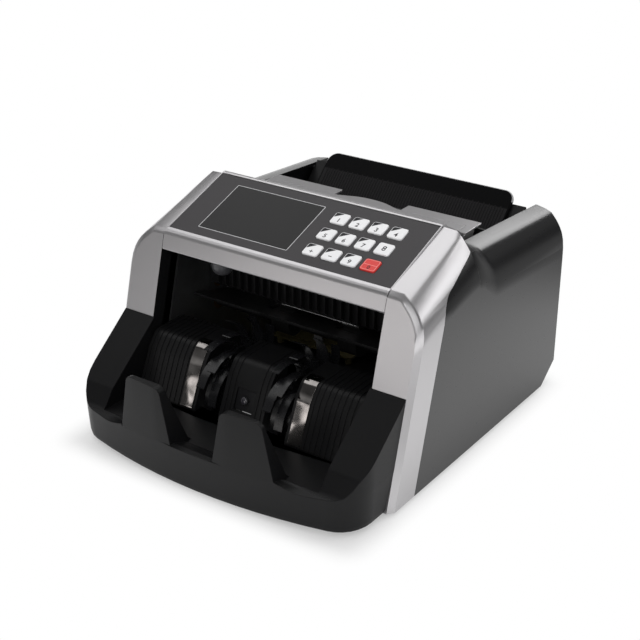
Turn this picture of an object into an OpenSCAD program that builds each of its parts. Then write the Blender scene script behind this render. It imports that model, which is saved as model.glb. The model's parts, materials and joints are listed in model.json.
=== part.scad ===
// Banknote counting machine: a desktop roller-friction note counter.
// +X is the right side seen from the front, +Y runs to the back, +Z is up.
// The origin is on the table, at the middle of the machine's footprint box.

/* [Body] */
// Width across the two side covers
body_w = 250; // [242:1:264]
// Depth of the shells, from the pillars' feet to the back corners
shell_d = 246; // [240:1:256]
// How far the tray's lip reaches in front of the pillars' feet
tray_d = 54; // [48:1:62]
// Height of the shells above the table
foot_h = 4; // [3:0.5:6]
// Backward lean of the front frame, in degrees
front_lean = 15.1; // [13:0.1:16]
// Clear width between the front pillars, and of the note bay
bay_w = 190; // [187:1:192]
// Thickness of the moulded walls
wall = 2.5; // [2:0.1:3]
// Depth of the front trim's side band, from the front face to its seam
band_d = 29; // [24:0.2:32]
// Width of the rounded rim on the front trim's outer edge
rim_w = 5; // [3:0.5:6]

/* [Control panel] */
// Width of the keypad overlay
panel_w = 188; // [184:1:189]
// Length of the overlay up the slope
panel_l = 67; // [64:1:70]
// Slope of the overlay, in degrees
panel_tilt = 19.7; // [18:0.1:20.5]
// Height of the overlay's front edge
panel_z = 144.4; // [142:0.2:148]
// Thickness of the overlay and its window
overlay_t = 1; // [0.8:0.1:1.2]
// Height of the front lip's lower edge, above the bay's mouth
mouth_z = 129; // [126:0.5:131]
// Roll of the front lip
lip_r = 5; // [3:0.5:6]
// Width of the display window
window_w = 78; // [70:1:80]
// Length of the display window up the slope
window_l = 51; // [44:1:54]

/* [Keys] */
// Width of a key
key_w = 12.2; // [10:0.1:13]
// Length of a key up the slope
key_l = 11.4; // [10:0.1:13]
// Spacing of the key columns
key_dx = 15.6; // [14.5:0.1:16]
// Spacing of the key rows
key_dy = 17.6; // [16:0.1:18.5]
// Height of a key above the overlay
key_rise = 0.9; // [0.7:0.1:1.4]
// Travel of a key
key_travel = 0.6; // [0.4:0.1:0.7]

/* [Stacker tray] */
// Height of the tray's front lip
lip_z = 34; // [32:1:38]
// Height of the lip's low ends, round the tray's front corners
dip_z = 28; // [26:0.5:30]
// Height of the tray's floor
floor_z = 30; // [27:1:31]
// Height of the tray's side walls where they meet the pillars
tray_wall_z = 81; // [78:1:84]
// Height of the tips of the two front fingers
finger_z = 75; // [68:1:80]
// Width of a finger at its tip
finger_w = 31; // [26:1:34]
// Distance of a finger's middle from the centre plane
finger_x = 41.7; // [40:0.5:44]

/* [Stacker] */
// Radius of the stacker wheels over their fins
wheel_r = 40; // [37:0.5:41]
// Distance of a stacker wheel's middle from the centre plane
wheel_x = 29; // [28:0.5:30]
// Width of a stacker wheel
wheel_w = 15; // [12:0.5:16]
// Fins in each row of a stacker wheel
fin_count = 9; // [7:1:11]
// Height of the stacker shaft
wheel_z = 50; // [49:0.5:52]
// Width of a bright guide strip
strip_w = 10.6; // [8:0.2:11]
// Thickness of a bright guide strip
strip_t = 0.8; // [0.6:0.1:1]

/* [Hopper] */
// Width of the ribbed note rest
rest_w = 170; // [150:1:176]
// Height of the note rest's low end, above the feed drum
throat_z = 93; // [90:0.5:95]
// Length of the note rest down its slope
rest_l = 82; // [76:1:84]
// Height of the silver deck behind the control panel
deck_z = 148; // [147:0.5:150]
// Height of the side covers' inner top edges
cover_z = 140; // [138:0.5:142]

/* [Transport] */
// Radius of the feed drum's rubber tyres
drum_r = 24; // [22:0.5:24.5]
// Radius of the separating rollers
sep_r = 11; // [9:0.5:11.5]
// Radius of the pick-up rollers
pick_r = 12; // [10:0.5:12.5]
// Radius of the shafts
shaft_r = 4; // [3:0.5:4.5]
// Main motor radius
motor_r = 27; // [24:1:28]

/* [Fits] */
// Clearance between moving pieces
gap = 0.3; // [0.25:0.05:0.4]
// Clearance between a shaft and its bearing
run_gap = 0.05; // [0.03:0.01:0.08]

/* [Hidden] */
$fn = 48;
ARC = 6; // steps in a rounded corner
half_w = body_w / 2;
bay = bay_w / 2;
lean = tan(front_lean);

// --- stations along the depth ---------------------------------------------------
depth = tray_d + shell_d;
front_y = -depth / 2;
foot_y = front_y + tray_d;
rear_y = foot_y + shell_d;
function face_y(z) = foot_y + lean * (z - foot_h); // the leaning front face

// --- control panel ----------------------------------------------------------------
panel_y = face_y(panel_z) + 4; // front edge of the overlay
panel_slope = tan(panel_tilt);
panel_top_y = panel_y + panel_l * cos(panel_tilt);
panel_top_z = panel_z + panel_l * sin(panel_tilt);
function panel_plane_z(y) = panel_z + (y - panel_y) * panel_slope;
window_x = -34; // middle of the display window
window_s = 33.2; // middle of the window, up the slope
key_x0 = 23; // middle of the first key column
key_s0 = 14.6; // middle of the first key row
throat_y = rear_y - 70; // low end of the note rest
hopper_y = throat_y - 8; // note face of the hopper's front wall
gate_over = 11.5; // feed gates stand this far behind the deck
deck_end = hopper_y + 1.5 - gate_over; // rear edge of the silver deck
deck_y = deck_end - 14; // foot of the hood's rear slope
gate_t = 1.4;
gate_x = 29.5; // inner edge of a feed gate
gate_leg = 84; // inner edge of a gate's side leg
deck_half = bay - 4;

// --- side form ----------------------------------------------------------------------
ridge_x = bay + 0.34 * (half_w - bay); // outer edge of the flat top strip
bevel_x = bay + 0.515 * (half_w - bay); // foot of the bevel beside it
bevel_h = 3.5;
lip_x = bay + 1; // inner edge of a side cover's top
cover_fall = 0.067; // fall of the side covers' top towards the rear
cover_x = bay + 3; // inner face of a side cover
shoulder = 31; // drop from the top strip to the upright side
jamb_d = 12; // depth of a trim's jamb along the bay's mouth

// --- tray ---------------------------------------------------------------------------------
tray_half = half_w - 3.3;
tray_corner = 27; // radius of the tray's front corners
tray_bow = 420; // radius of its bowed front
pocket = bay - 1.5; // inner face of the tray's sides
floor_y = front_y + 17; // front end of the tray's flat floor
rim_step = 0.4; // the tray's sides start this far above its floor
finger_foot_w = 54; // width of a finger near the floor
finger_d = 19; // depth of a finger near the floor

// --- overlay and board ------------------------------------------------------------------
panel_half = panel_w / 2;
board_n = 12; // depth of the display board under the overlay's face
board_t = 1.6;
board_w = panel_w - 7;
switch_h = 3.2; // height of a key switch
hood_t = wall + overlay_t;

// --- hopper -------------------------------------------------------------------------
rest_t = 3;
rest_z = throat_z + rest_l * sin(45); // top edge of the rest's note face
rest_top_y = throat_y + rest_l * cos(45);
front_wall_t = 2;

// --- transport ----------------------------------------------------------------------
wheel_y = face_y(wheel_z) + 25;
drum_y = hopper_y + 1.6 - drum_r;
drum_z = throat_z - 4;
nip_a = 20; // separating nip, degrees below the drum's rear
sep_y = drum_y + (drum_r + sep_r + gap) * cos(nip_a);
sep_z = drum_z - (drum_r + sep_r + gap) * sin(nip_a);
pick_y = hopper_y + 1.6 - pick_r;
pick_z = drum_z + drum_r + pick_r + 2;
roller_x = 30; // middle of the feed tyres
roller_w = 16;
path_gap = 2; // clear height of the note path
path_r = drum_r + path_gap;
climb = 15; // climb of the note path towards the stacker, in degrees
guide_t = 2;
leave_y = drum_y - path_r * sin(climb);
leave_z = drum_z - path_r * cos(climb);
function path_z(y) = leave_z + (leave_y - y) * tan(climb);
// the lower guide ends this far clear of the stacker wheels
guide_clear = 2.6;
guide_aim = [wheel_y - leave_y, wheel_z - leave_z + guide_t];
guide_run = guide_aim * [-cos(climb), sin(climb)];
guide_cut = guide_run * guide_run - guide_aim * guide_aim + (wheel_r + guide_clear) * (wheel_r + guide_clear);
guide_end_y = leave_y - cos(climb) * (guide_run - sqrt(max(0, guide_cut)));
idler_r = 7;
exit_r = 10;
exit_y = wheel_y + wheel_r + 0.45 * (drum_y - drum_r - wheel_y - wheel_r); // between wheels and drum
exit_z = path_z(exit_y) - exit_r / cos(climb) + path_gap / 2 - gap / 2;
nip_r = 7;
nip_z = path_z(exit_y) + nip_r / cos(climb) + path_gap / 2 + gap / 2;

// --- stacker --------------------------------------------------------------------------
apron_half = pocket - 1;
apron_top_z = tray_wall_z - 9;
apron_foot = face_y(floor_z) - 9; // where the apron meets the tray's floor
apron_back = wheel_y + 12;
sensor_y = face_y(48) - 7;
sensor_z = 48;
sensor_tilt = 20;
cheek_t = 1.6;
slot_in = wheel_x - wheel_w / 2 - 3;
slot_out = wheel_x + wheel_w / 2 + 3;
strip_x = slot_out + 2.5 + strip_w / 2;

// --- frame plates and drives ------------------------------------------------------------
plate_t = 1.5;
plate_x = bay + 0.5; // inner face of a steel side plate
plate_out = plate_x + plate_t;
collar_t = 1.5;
side_room = half_w - wall - cover_x - wall; // for the belts, inside a side cover
pulley_w = 0.3 * side_room;
pulley_x = cover_x + wall + 0.1 * side_room; // near face of the first pulley row
row_step = 0.4 * side_room; // from one pulley row to the next
pulley_rim = 0.12 * pulley_w; // thickness of a pulley's flange
belt_w = pulley_w - 2 * pulley_rim - 0.15;
belt_t = 1.4;
motor_y = drum_y + drum_r + 17;
motor_z = foot_h + 7 + motor_r;
stack_motor_y = wheel_y + 58;
stack_motor_z = foot_h + 18;
stack_motor_r = 12;
stack_motor_l = 42;
motor_shaft_r = 2.5;
small_pulley_r = 9;
drum_pulley_r = 18;
stack_pulley_r = 16;
fin_root = 11; // radius where the stacker wheel's fins start
screw_r = 2;
knob_r = 9;

// --- base and back ---------------------------------------------------------------------------
pan_top = foot_h + 2.6; // upper face of the base pan
vent_y = foot_y + 110; // front end of the pan's cooling slots
rear_face = rear_y - 17; // outer face of the rear cover
inlet_x = -66;
inlet_z = 38;
switch_x = 66;
switch_z = 38;
supply_x = -50; // middle of the power supply's board
supply_y = rear_y - 64;
supply_w = 78;
supply_d = 54;
core_w = 34; // width and height of its transformer
core_h = 32;
foot_x = bay - 14;
foot_r = 9;
foot_front_y = foot_y + 16;
foot_rear_y = rear_y - 46;

// ---- shape helpers ------------------------------------------------------------------------------
function unit(v) = v / norm(v);
function turn(a) = a > 180 ? a - 360 : a < -180 ? a + 360 : a;
function arc_points(c, r, a0, sweep, n) =
    [for (i = [0:n]) c + r * [cos(a0 + sweep * i / n), sin(a0 + sweep * i / n)]];
function corner(a, p, b, r) =
    let (u = unit(a - p), v = unit(b - p), half = acos(u * v) / 2,
        c = p + unit(u + v) * r / sin(half),
        s = p + u * r / tan(half) - c, e = p + v * r / tan(half) - c,
        a0 = atan2(s[1], s[0]), a1 = atan2(e[1], e[0]))
    arc_points(c, r, a0, turn(a1 - a0), ARC);
// Rounds each corner of an outline whose points are [x, y, radius]
function rounded(p) = [for (i = [0:len(p) - 1])
    let (n = len(p), q = p[i], a = p[(i + n - 1) % n], b = p[(i + 1) % n])
    each q[2] > 0 ? corner([a[0], a[1]], [q[0], q[1]], [b[0], b[1]], q[2]) : [[q[0], q[1]]]];
function box_outline(w, l, r) =
    rounded([[-w / 2, -l / 2, r], [w / 2, -l / 2, r], [w / 2, l / 2, r], [-w / 2, l / 2, r]]);

// Extrudes a (y, z) outline along X, from x0 to x1
module along_x(x0, x1) {
    translate([x0, 0, 0]) rotate([90, 0, 90]) linear_extrude(x1 - x0) children();
}
// Extrudes an (x, z) outline along Y, from y0 to y1
module along_y(y0, y1) {
    translate([0, y1, 0]) rotate([90, 0, 0]) linear_extrude(y1 - y0) children();
}
module block(a, b) { translate(a) cube(b - a); }
module rod_x(x0, x1, y, z, r) { translate([x0, y, z]) rotate([0, 90, 0]) cylinder(h = x1 - x0, r = r); }
module rod_y(y0, y1, x, z, r) { translate([x, y0, z]) rotate([-90, 0, 0]) cylinder(h = y1 - y0, r = r); }
module ring_x(x0, x1, y, z, r_out, r_in) {
    difference() {
        rod_x(x0, x1, y, z, r_out);
        rod_x(x0 - 1, x1 + 1, y, z, r_in);
    }
}
module both_sides() {
    children();
    mirror([1, 0, 0]) children();
}
// The overlay's frame: x across, y up the slope, z out of its surface
module on_panel() { translate([0, panel_y, panel_z]) rotate([panel_tilt, 0, 0]) children(); }

// Left-hand offset of an open path by t: each corner [y, z, radius] keeps its bend
function path_offset(p, t) = [for (i = [0:len(p) - 1])
    let (q = [p[i][0], p[i][1]],
        u = i > 0 ? unit(q - [p[i - 1][0], p[i - 1][1]]) : undef,
        w = i < len(p) - 1 ? unit([p[i + 1][0], p[i + 1][1]] - q) : undef,
        a = u == undef ? w : u, b = w == undef ? u : w,
        n = unit([-a[1] - b[1], a[0] + b[0]]),
        bend = a[0] * b[1] - a[1] * b[0],
        s = q + n * t / (n * [-a[1], a[0]]))
    [s[0], s[1], p[i][2] == 0 ? 0 : max(0.2, p[i][2] - t * sign(bend))]];
// Outline of a bent sheet of thickness t whose one face follows the path p
function sheet(p, t) = let (q = path_offset(p, t), n = len(p))
    rounded([for (i = [0:n - 1]) [p[i][0], p[i][1], i == 0 || i == n - 1 ? 0 : p[i][2]],
        for (i = [n - 1:-1:0]) [q[i][0], q[i][1], i == 0 || i == n - 1 ? 0 : q[i][2]]]);
// Skins closed rings that have equal counts of points
module skin(rings) {
    n = len(rings[0]);
    m = len(rings);
    polyhedron(points = [for (r = rings) each r],
        faces = [[for (i = [n - 1:-1:0]) i], [for (i = [0:n - 1]) (m - 1) * n + i],
            for (k = [0:m - 2], i = [0:n - 1]) let (j = (i + 1) % n)
                each [[k * n + i, k * n + j, (k + 1) * n + j],
                    [k * n + i, (k + 1) * n + j, (k + 1) * n + i]]]);
}
function bezier(a, b, c, d, n) = [for (i = [0:n]) let (t = i / n, s = 1 - t)
    s * s * s * a + 3 * s * s * t * b + 3 * s * t * t * c + t * t * t * d];

// ---- side form: one smooth body for front trim and side cover -----------------------------------
// The top strip runs flat to a crisp bevel, then the shoulder rolls down to the upright side.
// Each station: [y at panel height, lean, inner edge z, strip z, control points of the shoulder]
trim_end = panel_top_y + 3;
blend_l = 26; // the cover's shoulder takes up its own section over this length
function mix(a, b, t) = a + (b - a) * t;
function hood_z(y) = panel_plane_z(y) - 0.8;
// Shoulder from the upright side's top edge to the bevel's foot; k = 1 is full and k = 0 is lean
function shoulder_points(foot, side_z, k, inset) = let (xo = half_w - 0.75 * inset)
    [[xo, side_z], [xo, mix(side_z, foot[1], 0.45 + 0.15 * k)],
    foot + [0.24 + 0.18 * k, -0.36] * (xo - foot[0]), foot];
function trim_station(y, s, inset, cut, k) = let (z = hood_z(y) - cut) [y, s, z + 0.8, z + 0.3,
    shoulder_points([bevel_x - 0.65 * inset - 1.2 * (1 - k), z + 0.3 - bevel_h + inset * 0.3],
        z - shoulder - 6 * (1 - k), k, inset)];
TRIM_END = trim_station(trim_end + 0.3 * gap, 0, 0, 3.2, 0);
// The control points of a shoulder's lower share t
function lower_share(p, t) = let (a = mix(p[0], p[1], t), b = mix(p[1], p[2], t), c = mix(a, b, t))
    [p[0], a, c, mix(c, mix(b, mix(p[2], p[3], t), t), t)];
// The cover leaves the trim's end flush, at u = 0, and has its own section from u = 1
function cover_station(y, u) = let (z = cover_z + cover_fall * (rear_y - y),
    k = (1 - u) * (1 - u) * (1 + 2 * u),
    flush = lower_share(TRIM_END[4], 0.62), own = shoulder_points([bevel_x, z - 2.9], z - shoulder - 4, 1, 0))
    [y, 0, z, z - 1.4 + 2.7 * k, [for (i = [0:3]) mix(own[i], flush[i], k)]];
SIDE = [
    for (t = [0, 0.3, 0.65, 1]) trim_station(face_y(panel_z) + 0.8 * rim_w * t, lean, rim_w * (1 - t),
        3 * (1 - sin(90 * t)), 1),
    trim_station(panel_top_y - 30, lean * 0.7, 0, 0, 0.6),
    trim_station(panel_top_y - 6, lean * 0.4, 0, 0.3, 0.2),
    trim_station(panel_top_y + 1.6, 0, 0, 1.2, 0.1),
    TRIM_END,
    for (u = [0:0.2:1]) cover_station(trim_end + 0.7 * gap + blend_l * u, u),
    cover_station(rear_y - 60, 1),
    cover_station(rear_y, 1)];
// Section of the side form at one station, its outer skin moved in by w
function side_ring(s, w) = let (p = s[4], xi = bay - 2)
    [for (q = concat([[xi, foot_h], [p[0][0] - w, foot_h]],
        bezier(p[0] - [w, w / 2], p[1] - [w, 0.7 * w], p[2] - [0.8 * w, 0.9 * w], p[3] - [0.6 * w, w], 7),
        [[ridge_x - 0.4 * w, s[3] - w], [xi, s[2] - w]])) [q[0], s[0] + s[1] * (q[1] - panel_z), q[1]]];
module side_form(w) { skin([for (s = SIDE) side_ring(s, w)]); }
// Side view of the seam between front trim and cover, moved back by d
function seam_path(d) = [[face_y(0) + band_d + d, 0, 0],
    [face_y(mouth_z + 5) + band_d + d, mouth_z + 5 - d, 20],
    [trim_end + d, panel_top_z - 13.5 - d, 5], [trim_end + d, panel_top_z + 20, 0]];
module ahead_of_seam() {
    along_x(bay, half_w + 1) polygon(rounded(concat([[front_y, 0, 0]], seam_path(0),
        [[front_y, panel_top_z + 20, 0]])));
}
module behind_seam() {
    along_x(0, half_w + 1) polygon(rounded(concat(seam_path(gap),
        [[rear_y + 20, panel_top_z + 20, 0], [rear_y + 20, 0, 0]])));
}
// Plan and side limits of the machine's back, moved in by w
module back_limit(w) {
    linear_extrude(panel_top_z + 30) polygon(rounded([[0, front_y, 0], [half_w + 1 - w, front_y, 0],
        [half_w + 1 - w, rear_y - 6 - w, 7], [cover_x, rear_y - w, 0], [0, rear_y - w, 0]]));
}
module back_chamfer(w) {
    along_x(0, half_w + 1) polygon([[front_y, -1], [rear_y - 29 - w, -1], [rear_y - 28 - w, foot_h],
        [rear_y - 8 - w, foot_h + 15], [rear_y + 1, foot_h + 16], [rear_y + 1, 200], [front_y, 200]]);
}

// ---- shells -------------------------------------------------------------------------------------
module front_trim() {
    color([0.66, 0.65, 0.67]) difference() {
        intersection() {
            side_form(0);
            ahead_of_seam();
        }
        difference() {
            translate([0, wall, 0]) side_form(wall);
            block([bay - 3, trim_end - wall, panel_top_z - 18], [half_w, trim_end + 5, panel_top_z + 9]);
            // jamb along the bay's mouth and the tray
            along_x(bay, bay + wall) polygon([[face_y(0), 0], [face_y(0) + jamb_d, 0],
                [face_y(panel_z) + jamb_d, panel_z], [panel_top_y + 10, panel_top_z + 5],
                    [face_y(panel_z), 200]]);
        }
    }
}
module side_cover() {
    flange_z = 100;
    color([0.16, 0.16, 0.17]) difference() {
        intersection() {
            side_form(0);
            behind_seam();
            back_limit(0);
            back_chamfer(0);
            union() {
                block([cover_x, front_y, foot_h], [half_w, rear_y, panel_top_z]);
                block([lip_x, trim_end, cover_z - 6], [cover_x + 1, rear_y, panel_top_z]);
            }
        }
        difference() {
            intersection() {
                side_form(wall);
                back_limit(wall);
                back_chamfer(wall);
            }
            // the hopper's side: a lip beside the deck, a wall beside the note rest and down the back
            block([cover_x, deck_y - 12, cover_z - 2], [cover_x + wall, rear_y, panel_top_z]);
            block([cover_x, hopper_y + 4, flange_z], [cover_x + wall, rear_y, panel_top_z]);
            block([cover_x, rear_face - 16, 0], [cover_x + wall, rear_y, panel_top_z]);
        }
    }
}
module left_front_trim() { mirror([1, 0, 0]) front_trim(); }
module right_front_trim() { front_trim(); }
module left_side_cover() { mirror([1, 0, 0]) side_cover(); }
module right_side_cover() { side_cover(); }

// ---- tray ---------------------------------------------------------------------------------------
// Plan of the tray moved in by w: a bowed front with rounded corners
function tray_plan(w) =
    let (t = tray_half - w, r = tray_corner - w, big = tray_bow - w, cy = front_y + tray_bow,
        yc = cy - sqrt((big - r) * (big - r) - (t - r) * (t - r)), a = atan2(yc - cy, t - r))
    concat([[t, face_y(200)]], arc_points([t - r, yc], r, 0, a, ARC),
        [for (i = [1:11]) [0, cy] + big * [cos(a - (180 + 2 * a) * i / 12), sin(a - (180 + 2 * a) * i / 12)]],
        arc_points([r - t, yc], r, -180 - a, a, ARC), [[-t, face_y(200)]]);
// The tray's outer form moved in by w, its foot drawn in under the lip
module tray_form(w) {
    skin([for (s = [[foot_h, 3.6], [foot_h + 1.2, 2.2], [foot_h + 5, 1.4], [lip_z - 3, 0.2], [lip_z, 0],
        [tray_wall_z + 5, 0]]) [for (p = tray_plan(s[1] + w)) [p[0], p[1], s[0]]]]);
}
// Side view of the tray's top edges, lowered by d: a lip of height z, a scoop to the floor, sloping sides
function tray_side(z, d) = [[front_y - 5, 0, 0], [front_y - 5, z - d, 0], [front_y + 5, z - d, 3],
    [floor_y, floor_z + rim_step - d, 9], [front_y + 26, lip_z + 8.5 - d, 14],
    [face_y(tray_wall_z) - gap, tray_wall_z - d, 0], [face_y(0) - gap, 0, 0]];
// The same at one x: the lip is high in the middle and low at both ends
function tray_ring(x) =
    let (k = min(1, max(0, (abs(x) - 60) / 26)),
        z = dip_z + (lip_z - dip_z + 0.5) * (1 - k * k * (3 - 2 * k)))
    [for (p = rounded(tray_side(z, 0))) [x, p[0], p[1]]];
lip_stations = [60, 65, 69, 73, 77, 81, 86, half_w];
module finger_outline(w) {
    polygon(rounded([[finger_x - finger_foot_w / 2 + w, floor_z - 12, 0],
        [finger_x - finger_w / 2 + w, finger_z - w, 6 - w],
            [finger_x + finger_w / 2 - w, finger_z - w, 6 - w],
        [finger_x + finger_foot_w / 2 - w, floor_z - 12, 0]]));
}
module finger_form(w) {
    intersection() {
        along_y(front_y - 1, front_y + 60) finger_outline(w);
        along_x(0, half_w) polygon(rounded([[front_y + 0.8 + w, 0, 0],
            [front_y + 1.2 + w, finger_z + 1 - w, 1],
            [front_y + 7 - w, finger_z + 1 - w, 2], [front_y + 8.5 - w, finger_z - 8 - w, 8],
            [front_y + finger_d - w, floor_z + 3 - w, 3], [front_y + finger_d + 3 - w, floor_z - w, 0],
            [front_y + finger_d + 3 - w, 0, 0]]));
        tray_form(w);
    }
}
module front_tray() {
    color([0.13, 0.13, 0.14]) difference() {
        union() {
            difference() {
                intersection() {
                    tray_form(0);
                    skin([for (i = [1 - len(lip_stations):0]) tray_ring(-lip_stations[-i]),
                        for (x = lip_stations) tray_ring(x)]);
                }
                // note pocket
                along_x(-pocket, pocket) polygon([[floor_y - 9, floor_z + 6], [floor_y, floor_z],
                    [0, floor_z],
                    [0, tray_wall_z + 20], [floor_y - 9, tray_wall_z + 20]]);
                // the floor ends at the stacker's apron
                block([-apron_half - gap, apron_foot - gap, -1], [apron_half + gap, 0, floor_z + 1]);
            }
            both_sides() finger_form(0);
        }
        // hollow under the floor, the slopes and the fingers
        intersection() {
            tray_form(wall);
            union() {
                block([-half_w, front_y, foot_h - 1], [half_w, 0, floor_z - wall]);
                both_sides() intersection() {
                    along_x(pocket + wall, half_w) polygon(rounded(tray_side(dip_z, wall * 1.3)));
                    block([pocket + wall, front_y, 0], [half_w, face_y(0) + 60, tray_wall_z]);
                }
                both_sides() finger_form(wall);
            }
        }
        translate([0, 0, foot_h - 1]) linear_extrude(1.1) polygon(tray_plan(4));
        // openings for the stacker wheels
        both_sides() block([slot_in, apron_foot - 5, 0], [slot_out, 0, floor_z + 1]);
    }
}
function apron_path() = [[apron_back, apron_top_z, 0], [face_y(apron_top_z) + 2, apron_top_z, 9],
    [face_y(62) - 3.5, 62, 26], [apron_foot, floor_z + 1, 8], [apron_foot, foot_h + 8, 0]];
module apron_plate(proud, t) { polygon(sheet(path_offset(apron_path(), -proud), t)); }
module stacker_apron() {
    rib_pitch = 4.4;
    rib_w = 1;
    slot_mid = (slot_in + slot_out) / 2;
    count = floor(apron_half / rib_pitch);
    color([0.09, 0.09, 0.1]) difference() {
        union() {
            along_x(-apron_half, apron_half) apron_plate(0, guide_t);
            intersection() {
                for (i = [1:count], s = [-1, 1]) let (x = s * (i - 0.5) * rib_pitch)
                    if (abs(abs(x) - slot_mid) > (slot_out - slot_in) / 2 + rib_w
                        && abs(abs(x) - strip_x) > strip_w / 2 + rib_w && abs(x) > 9 && abs(x) < apron_half - 2)
                        along_x(x - rib_w / 2, x + rib_w / 2) apron_plate(0.6, guide_t);
                block([-bay, front_y, floor_z + 1], [bay, 0, apron_top_z + 5]);
            }
            // cheeks that stiffen the wheel slots
            for (x = [slot_in - cheek_t, slot_out]) both_sides() along_x(x, x + cheek_t) polygon([
                [apron_foot + 1, foot_h + 8], [apron_foot + 9, foot_h + 8],
                    [face_y(62) + 16, apron_top_z - 8],
                [face_y(62) + 16, apron_top_z - 1], [face_y(66) + 3, 66], [face_y(56) - 1, 54],
                    [apron_foot + 1, floor_z + 4]]);
        }
        both_sides() block([slot_in, apron_foot - 9, floor_z - 6],
            [slot_out, apron_back + 1, apron_top_z + 9]);
        // recess round the sensor
        translate([0, sensor_y, sensor_z]) rotate([90 - sensor_tilt, 0, 0])
            translate([-8, -8, -30]) cube([16, 16, 60]);
    }
}
module tray_sensor() {
    color([0.05, 0.05, 0.06]) translate([0, sensor_y, sensor_z]) rotate([90 - sensor_tilt, 0, 0]) {
        translate([0, 0, -8]) linear_extrude(6) polygon(box_outline(15.4, 15.4, 1));
        translate([0, 0, -2]) cylinder(h = 2, r = 3.2);
    }
}
module strip(x) {
    intersection() {
        along_x(x - strip_w / 2, x + strip_w / 2)
            polygon(sheet(path_offset(apron_path(), -strip_t), strip_t));
        block([0, front_y, floor_z + 2], [bay, face_y(apron_top_z) + 9, apron_top_z + 5]);
    }
}
module guide_strips() { color([0.8, 0.78, 0.76]) both_sides() strip(strip_x); }

// ---- control hood -------------------------------------------------------------------------------
lip_y = face_y(panel_plane_z(0)) / (1 - lean * panel_slope); // the face meets the panel plane
lip_top_z = panel_plane_z(lip_y);
peak_y = panel_top_y + 2.6;
module hood_profile() {
    polygon(sheet([[face_y(mouth_z) + 10, mouth_z, 0], [face_y(mouth_z), mouth_z, 1.5],
        [lip_y, lip_top_z, lip_r],
        [peak_y, panel_plane_z(peak_y) + 0.4, 4], [deck_y, deck_z, 5], [deck_end, deck_z, 0]], -hood_t));
}
module hood_key_holes(extra) {
    for (c = [0:3], r = [0:2]) translate([key_x0 + c * key_dx, key_s0 + (2 - r) * key_dy, -9])
        linear_extrude(12) polygon(box_outline(key_w + extra, key_l + extra, 2));
}
module control_hood() {
    half = bay - gap;
    color([0.6, 0.6, 0.62]) {
        difference() {
            union() {
                intersection() {
                    along_x(-half, half) hood_profile();
                    union() {
                        block([-half, front_y, 0], [half, peak_y + 3, 300]);
                        block([-deck_half, peak_y, 0], [deck_half, rear_y, 300]);
                    }
                }
                // side walls of the slots beside the deck
                for (s = [-1, 1]) along_x(s > 0 ? deck_half - wall : -deck_half,
                    s > 0 ? deck_half : wall - deck_half)
                    polygon([[peak_y + 3, deck_z - 6], [deck_end - 1, deck_z - 14],
                        [deck_end - 1, deck_z - 1],
                        [deck_y - 1, deck_z - 1], [peak_y + 3, panel_top_z - 7]]);
                // curved tongue between the feed gates
                translate([0, 0, deck_z - wall]) linear_extrude(wall) polygon(concat(
                    [[-gate_x + gap, deck_end - 1]],
                        bezier([-gate_x + gap, deck_end], [-gate_x + 9, deck_end],
                    [-gate_x + 12, deck_end + 6.5], [0, deck_end + 6.5], 8), bezier([0, deck_end + 6.5],
                    [gate_x - 12, deck_end + 6.5], [gate_x - 9, deck_end], [gate_x - gap, deck_end], 8),
                    [[gate_x - gap, deck_end - 1]]));
            }
            on_panel() {
                translate([-panel_half - gap / 2, 0, -overlay_t]) cube([2 * panel_half + gap, panel_l, 20]);
                hood_key_holes(1);
                // opening under the display window
                translate([window_x - window_w / 2 + 4, window_s - window_l / 2 + 4, -9])
                    cube([window_w - 8, window_l - 8, 12]);
            }
            // seats of the feed gates: along the deck's edge and up each side
            both_sides() block([gate_leg, deck_y - 1, deck_z - gate_t], [half_w, rear_y, deck_z + 1]);
        }
        // posts that carry the display board
        on_panel() for (x = [4.5 - board_w / 2, board_w / 2 - 4.5], y = [6, panel_l - 8])
            translate([x, y, -board_n + board_t]) cylinder(h = board_n - board_t - overlay_t - wall + 0.8,
                r = 3);
    }
}
module keypad_overlay() {
    color([0.28, 0.28, 0.29]) on_panel() difference() {
        translate([0, panel_l / 2, -overlay_t]) linear_extrude(overlay_t)
            polygon(rounded([[-panel_half, -panel_l / 2 + 0.1, 0.4], [panel_half, -panel_l / 2 + 0.1, 0.4],
                [panel_half, panel_l / 2 - 0.3, 3], [-panel_half, panel_l / 2 - 0.3, 3]]));
        hood_key_holes(0.6);
        translate([window_x, window_s, -2]) linear_extrude(4) polygon(box_outline(window_w, window_l, 1));
    }
}
module display_window() {
    color([0.2, 0.2, 0.21]) on_panel() translate([window_x, window_s, -overlay_t])
        linear_extrude(overlay_t) polygon(box_outline(window_w - 0.2, window_l - 0.2, 0.9));
}
module display_board() {
    color([0.1, 0.3, 0.16]) on_panel() {
        translate([0, panel_l / 2, -board_n]) linear_extrude(board_t) polygon(box_outline(board_w,
            panel_l - 2, 1));
        // display module
        translate([window_x, window_s, -board_n + board_t])
            linear_extrude(board_n - board_t - overlay_t - wall - 0.5)
            polygon(box_outline(window_w + 6, window_l + 4, 1));
        // switches under the keys
        for (c = [0:3], r = [0:2])
            translate([key_x0 + c * key_dx, key_s0 + r * key_dy, -board_n + board_t]) {
                linear_extrude(2) polygon(box_outline(6, 6, 0.5));
                translate([0, 0, 2]) cylinder(h = switch_h - 2, r = 1.6);
            }
    }
}
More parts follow.
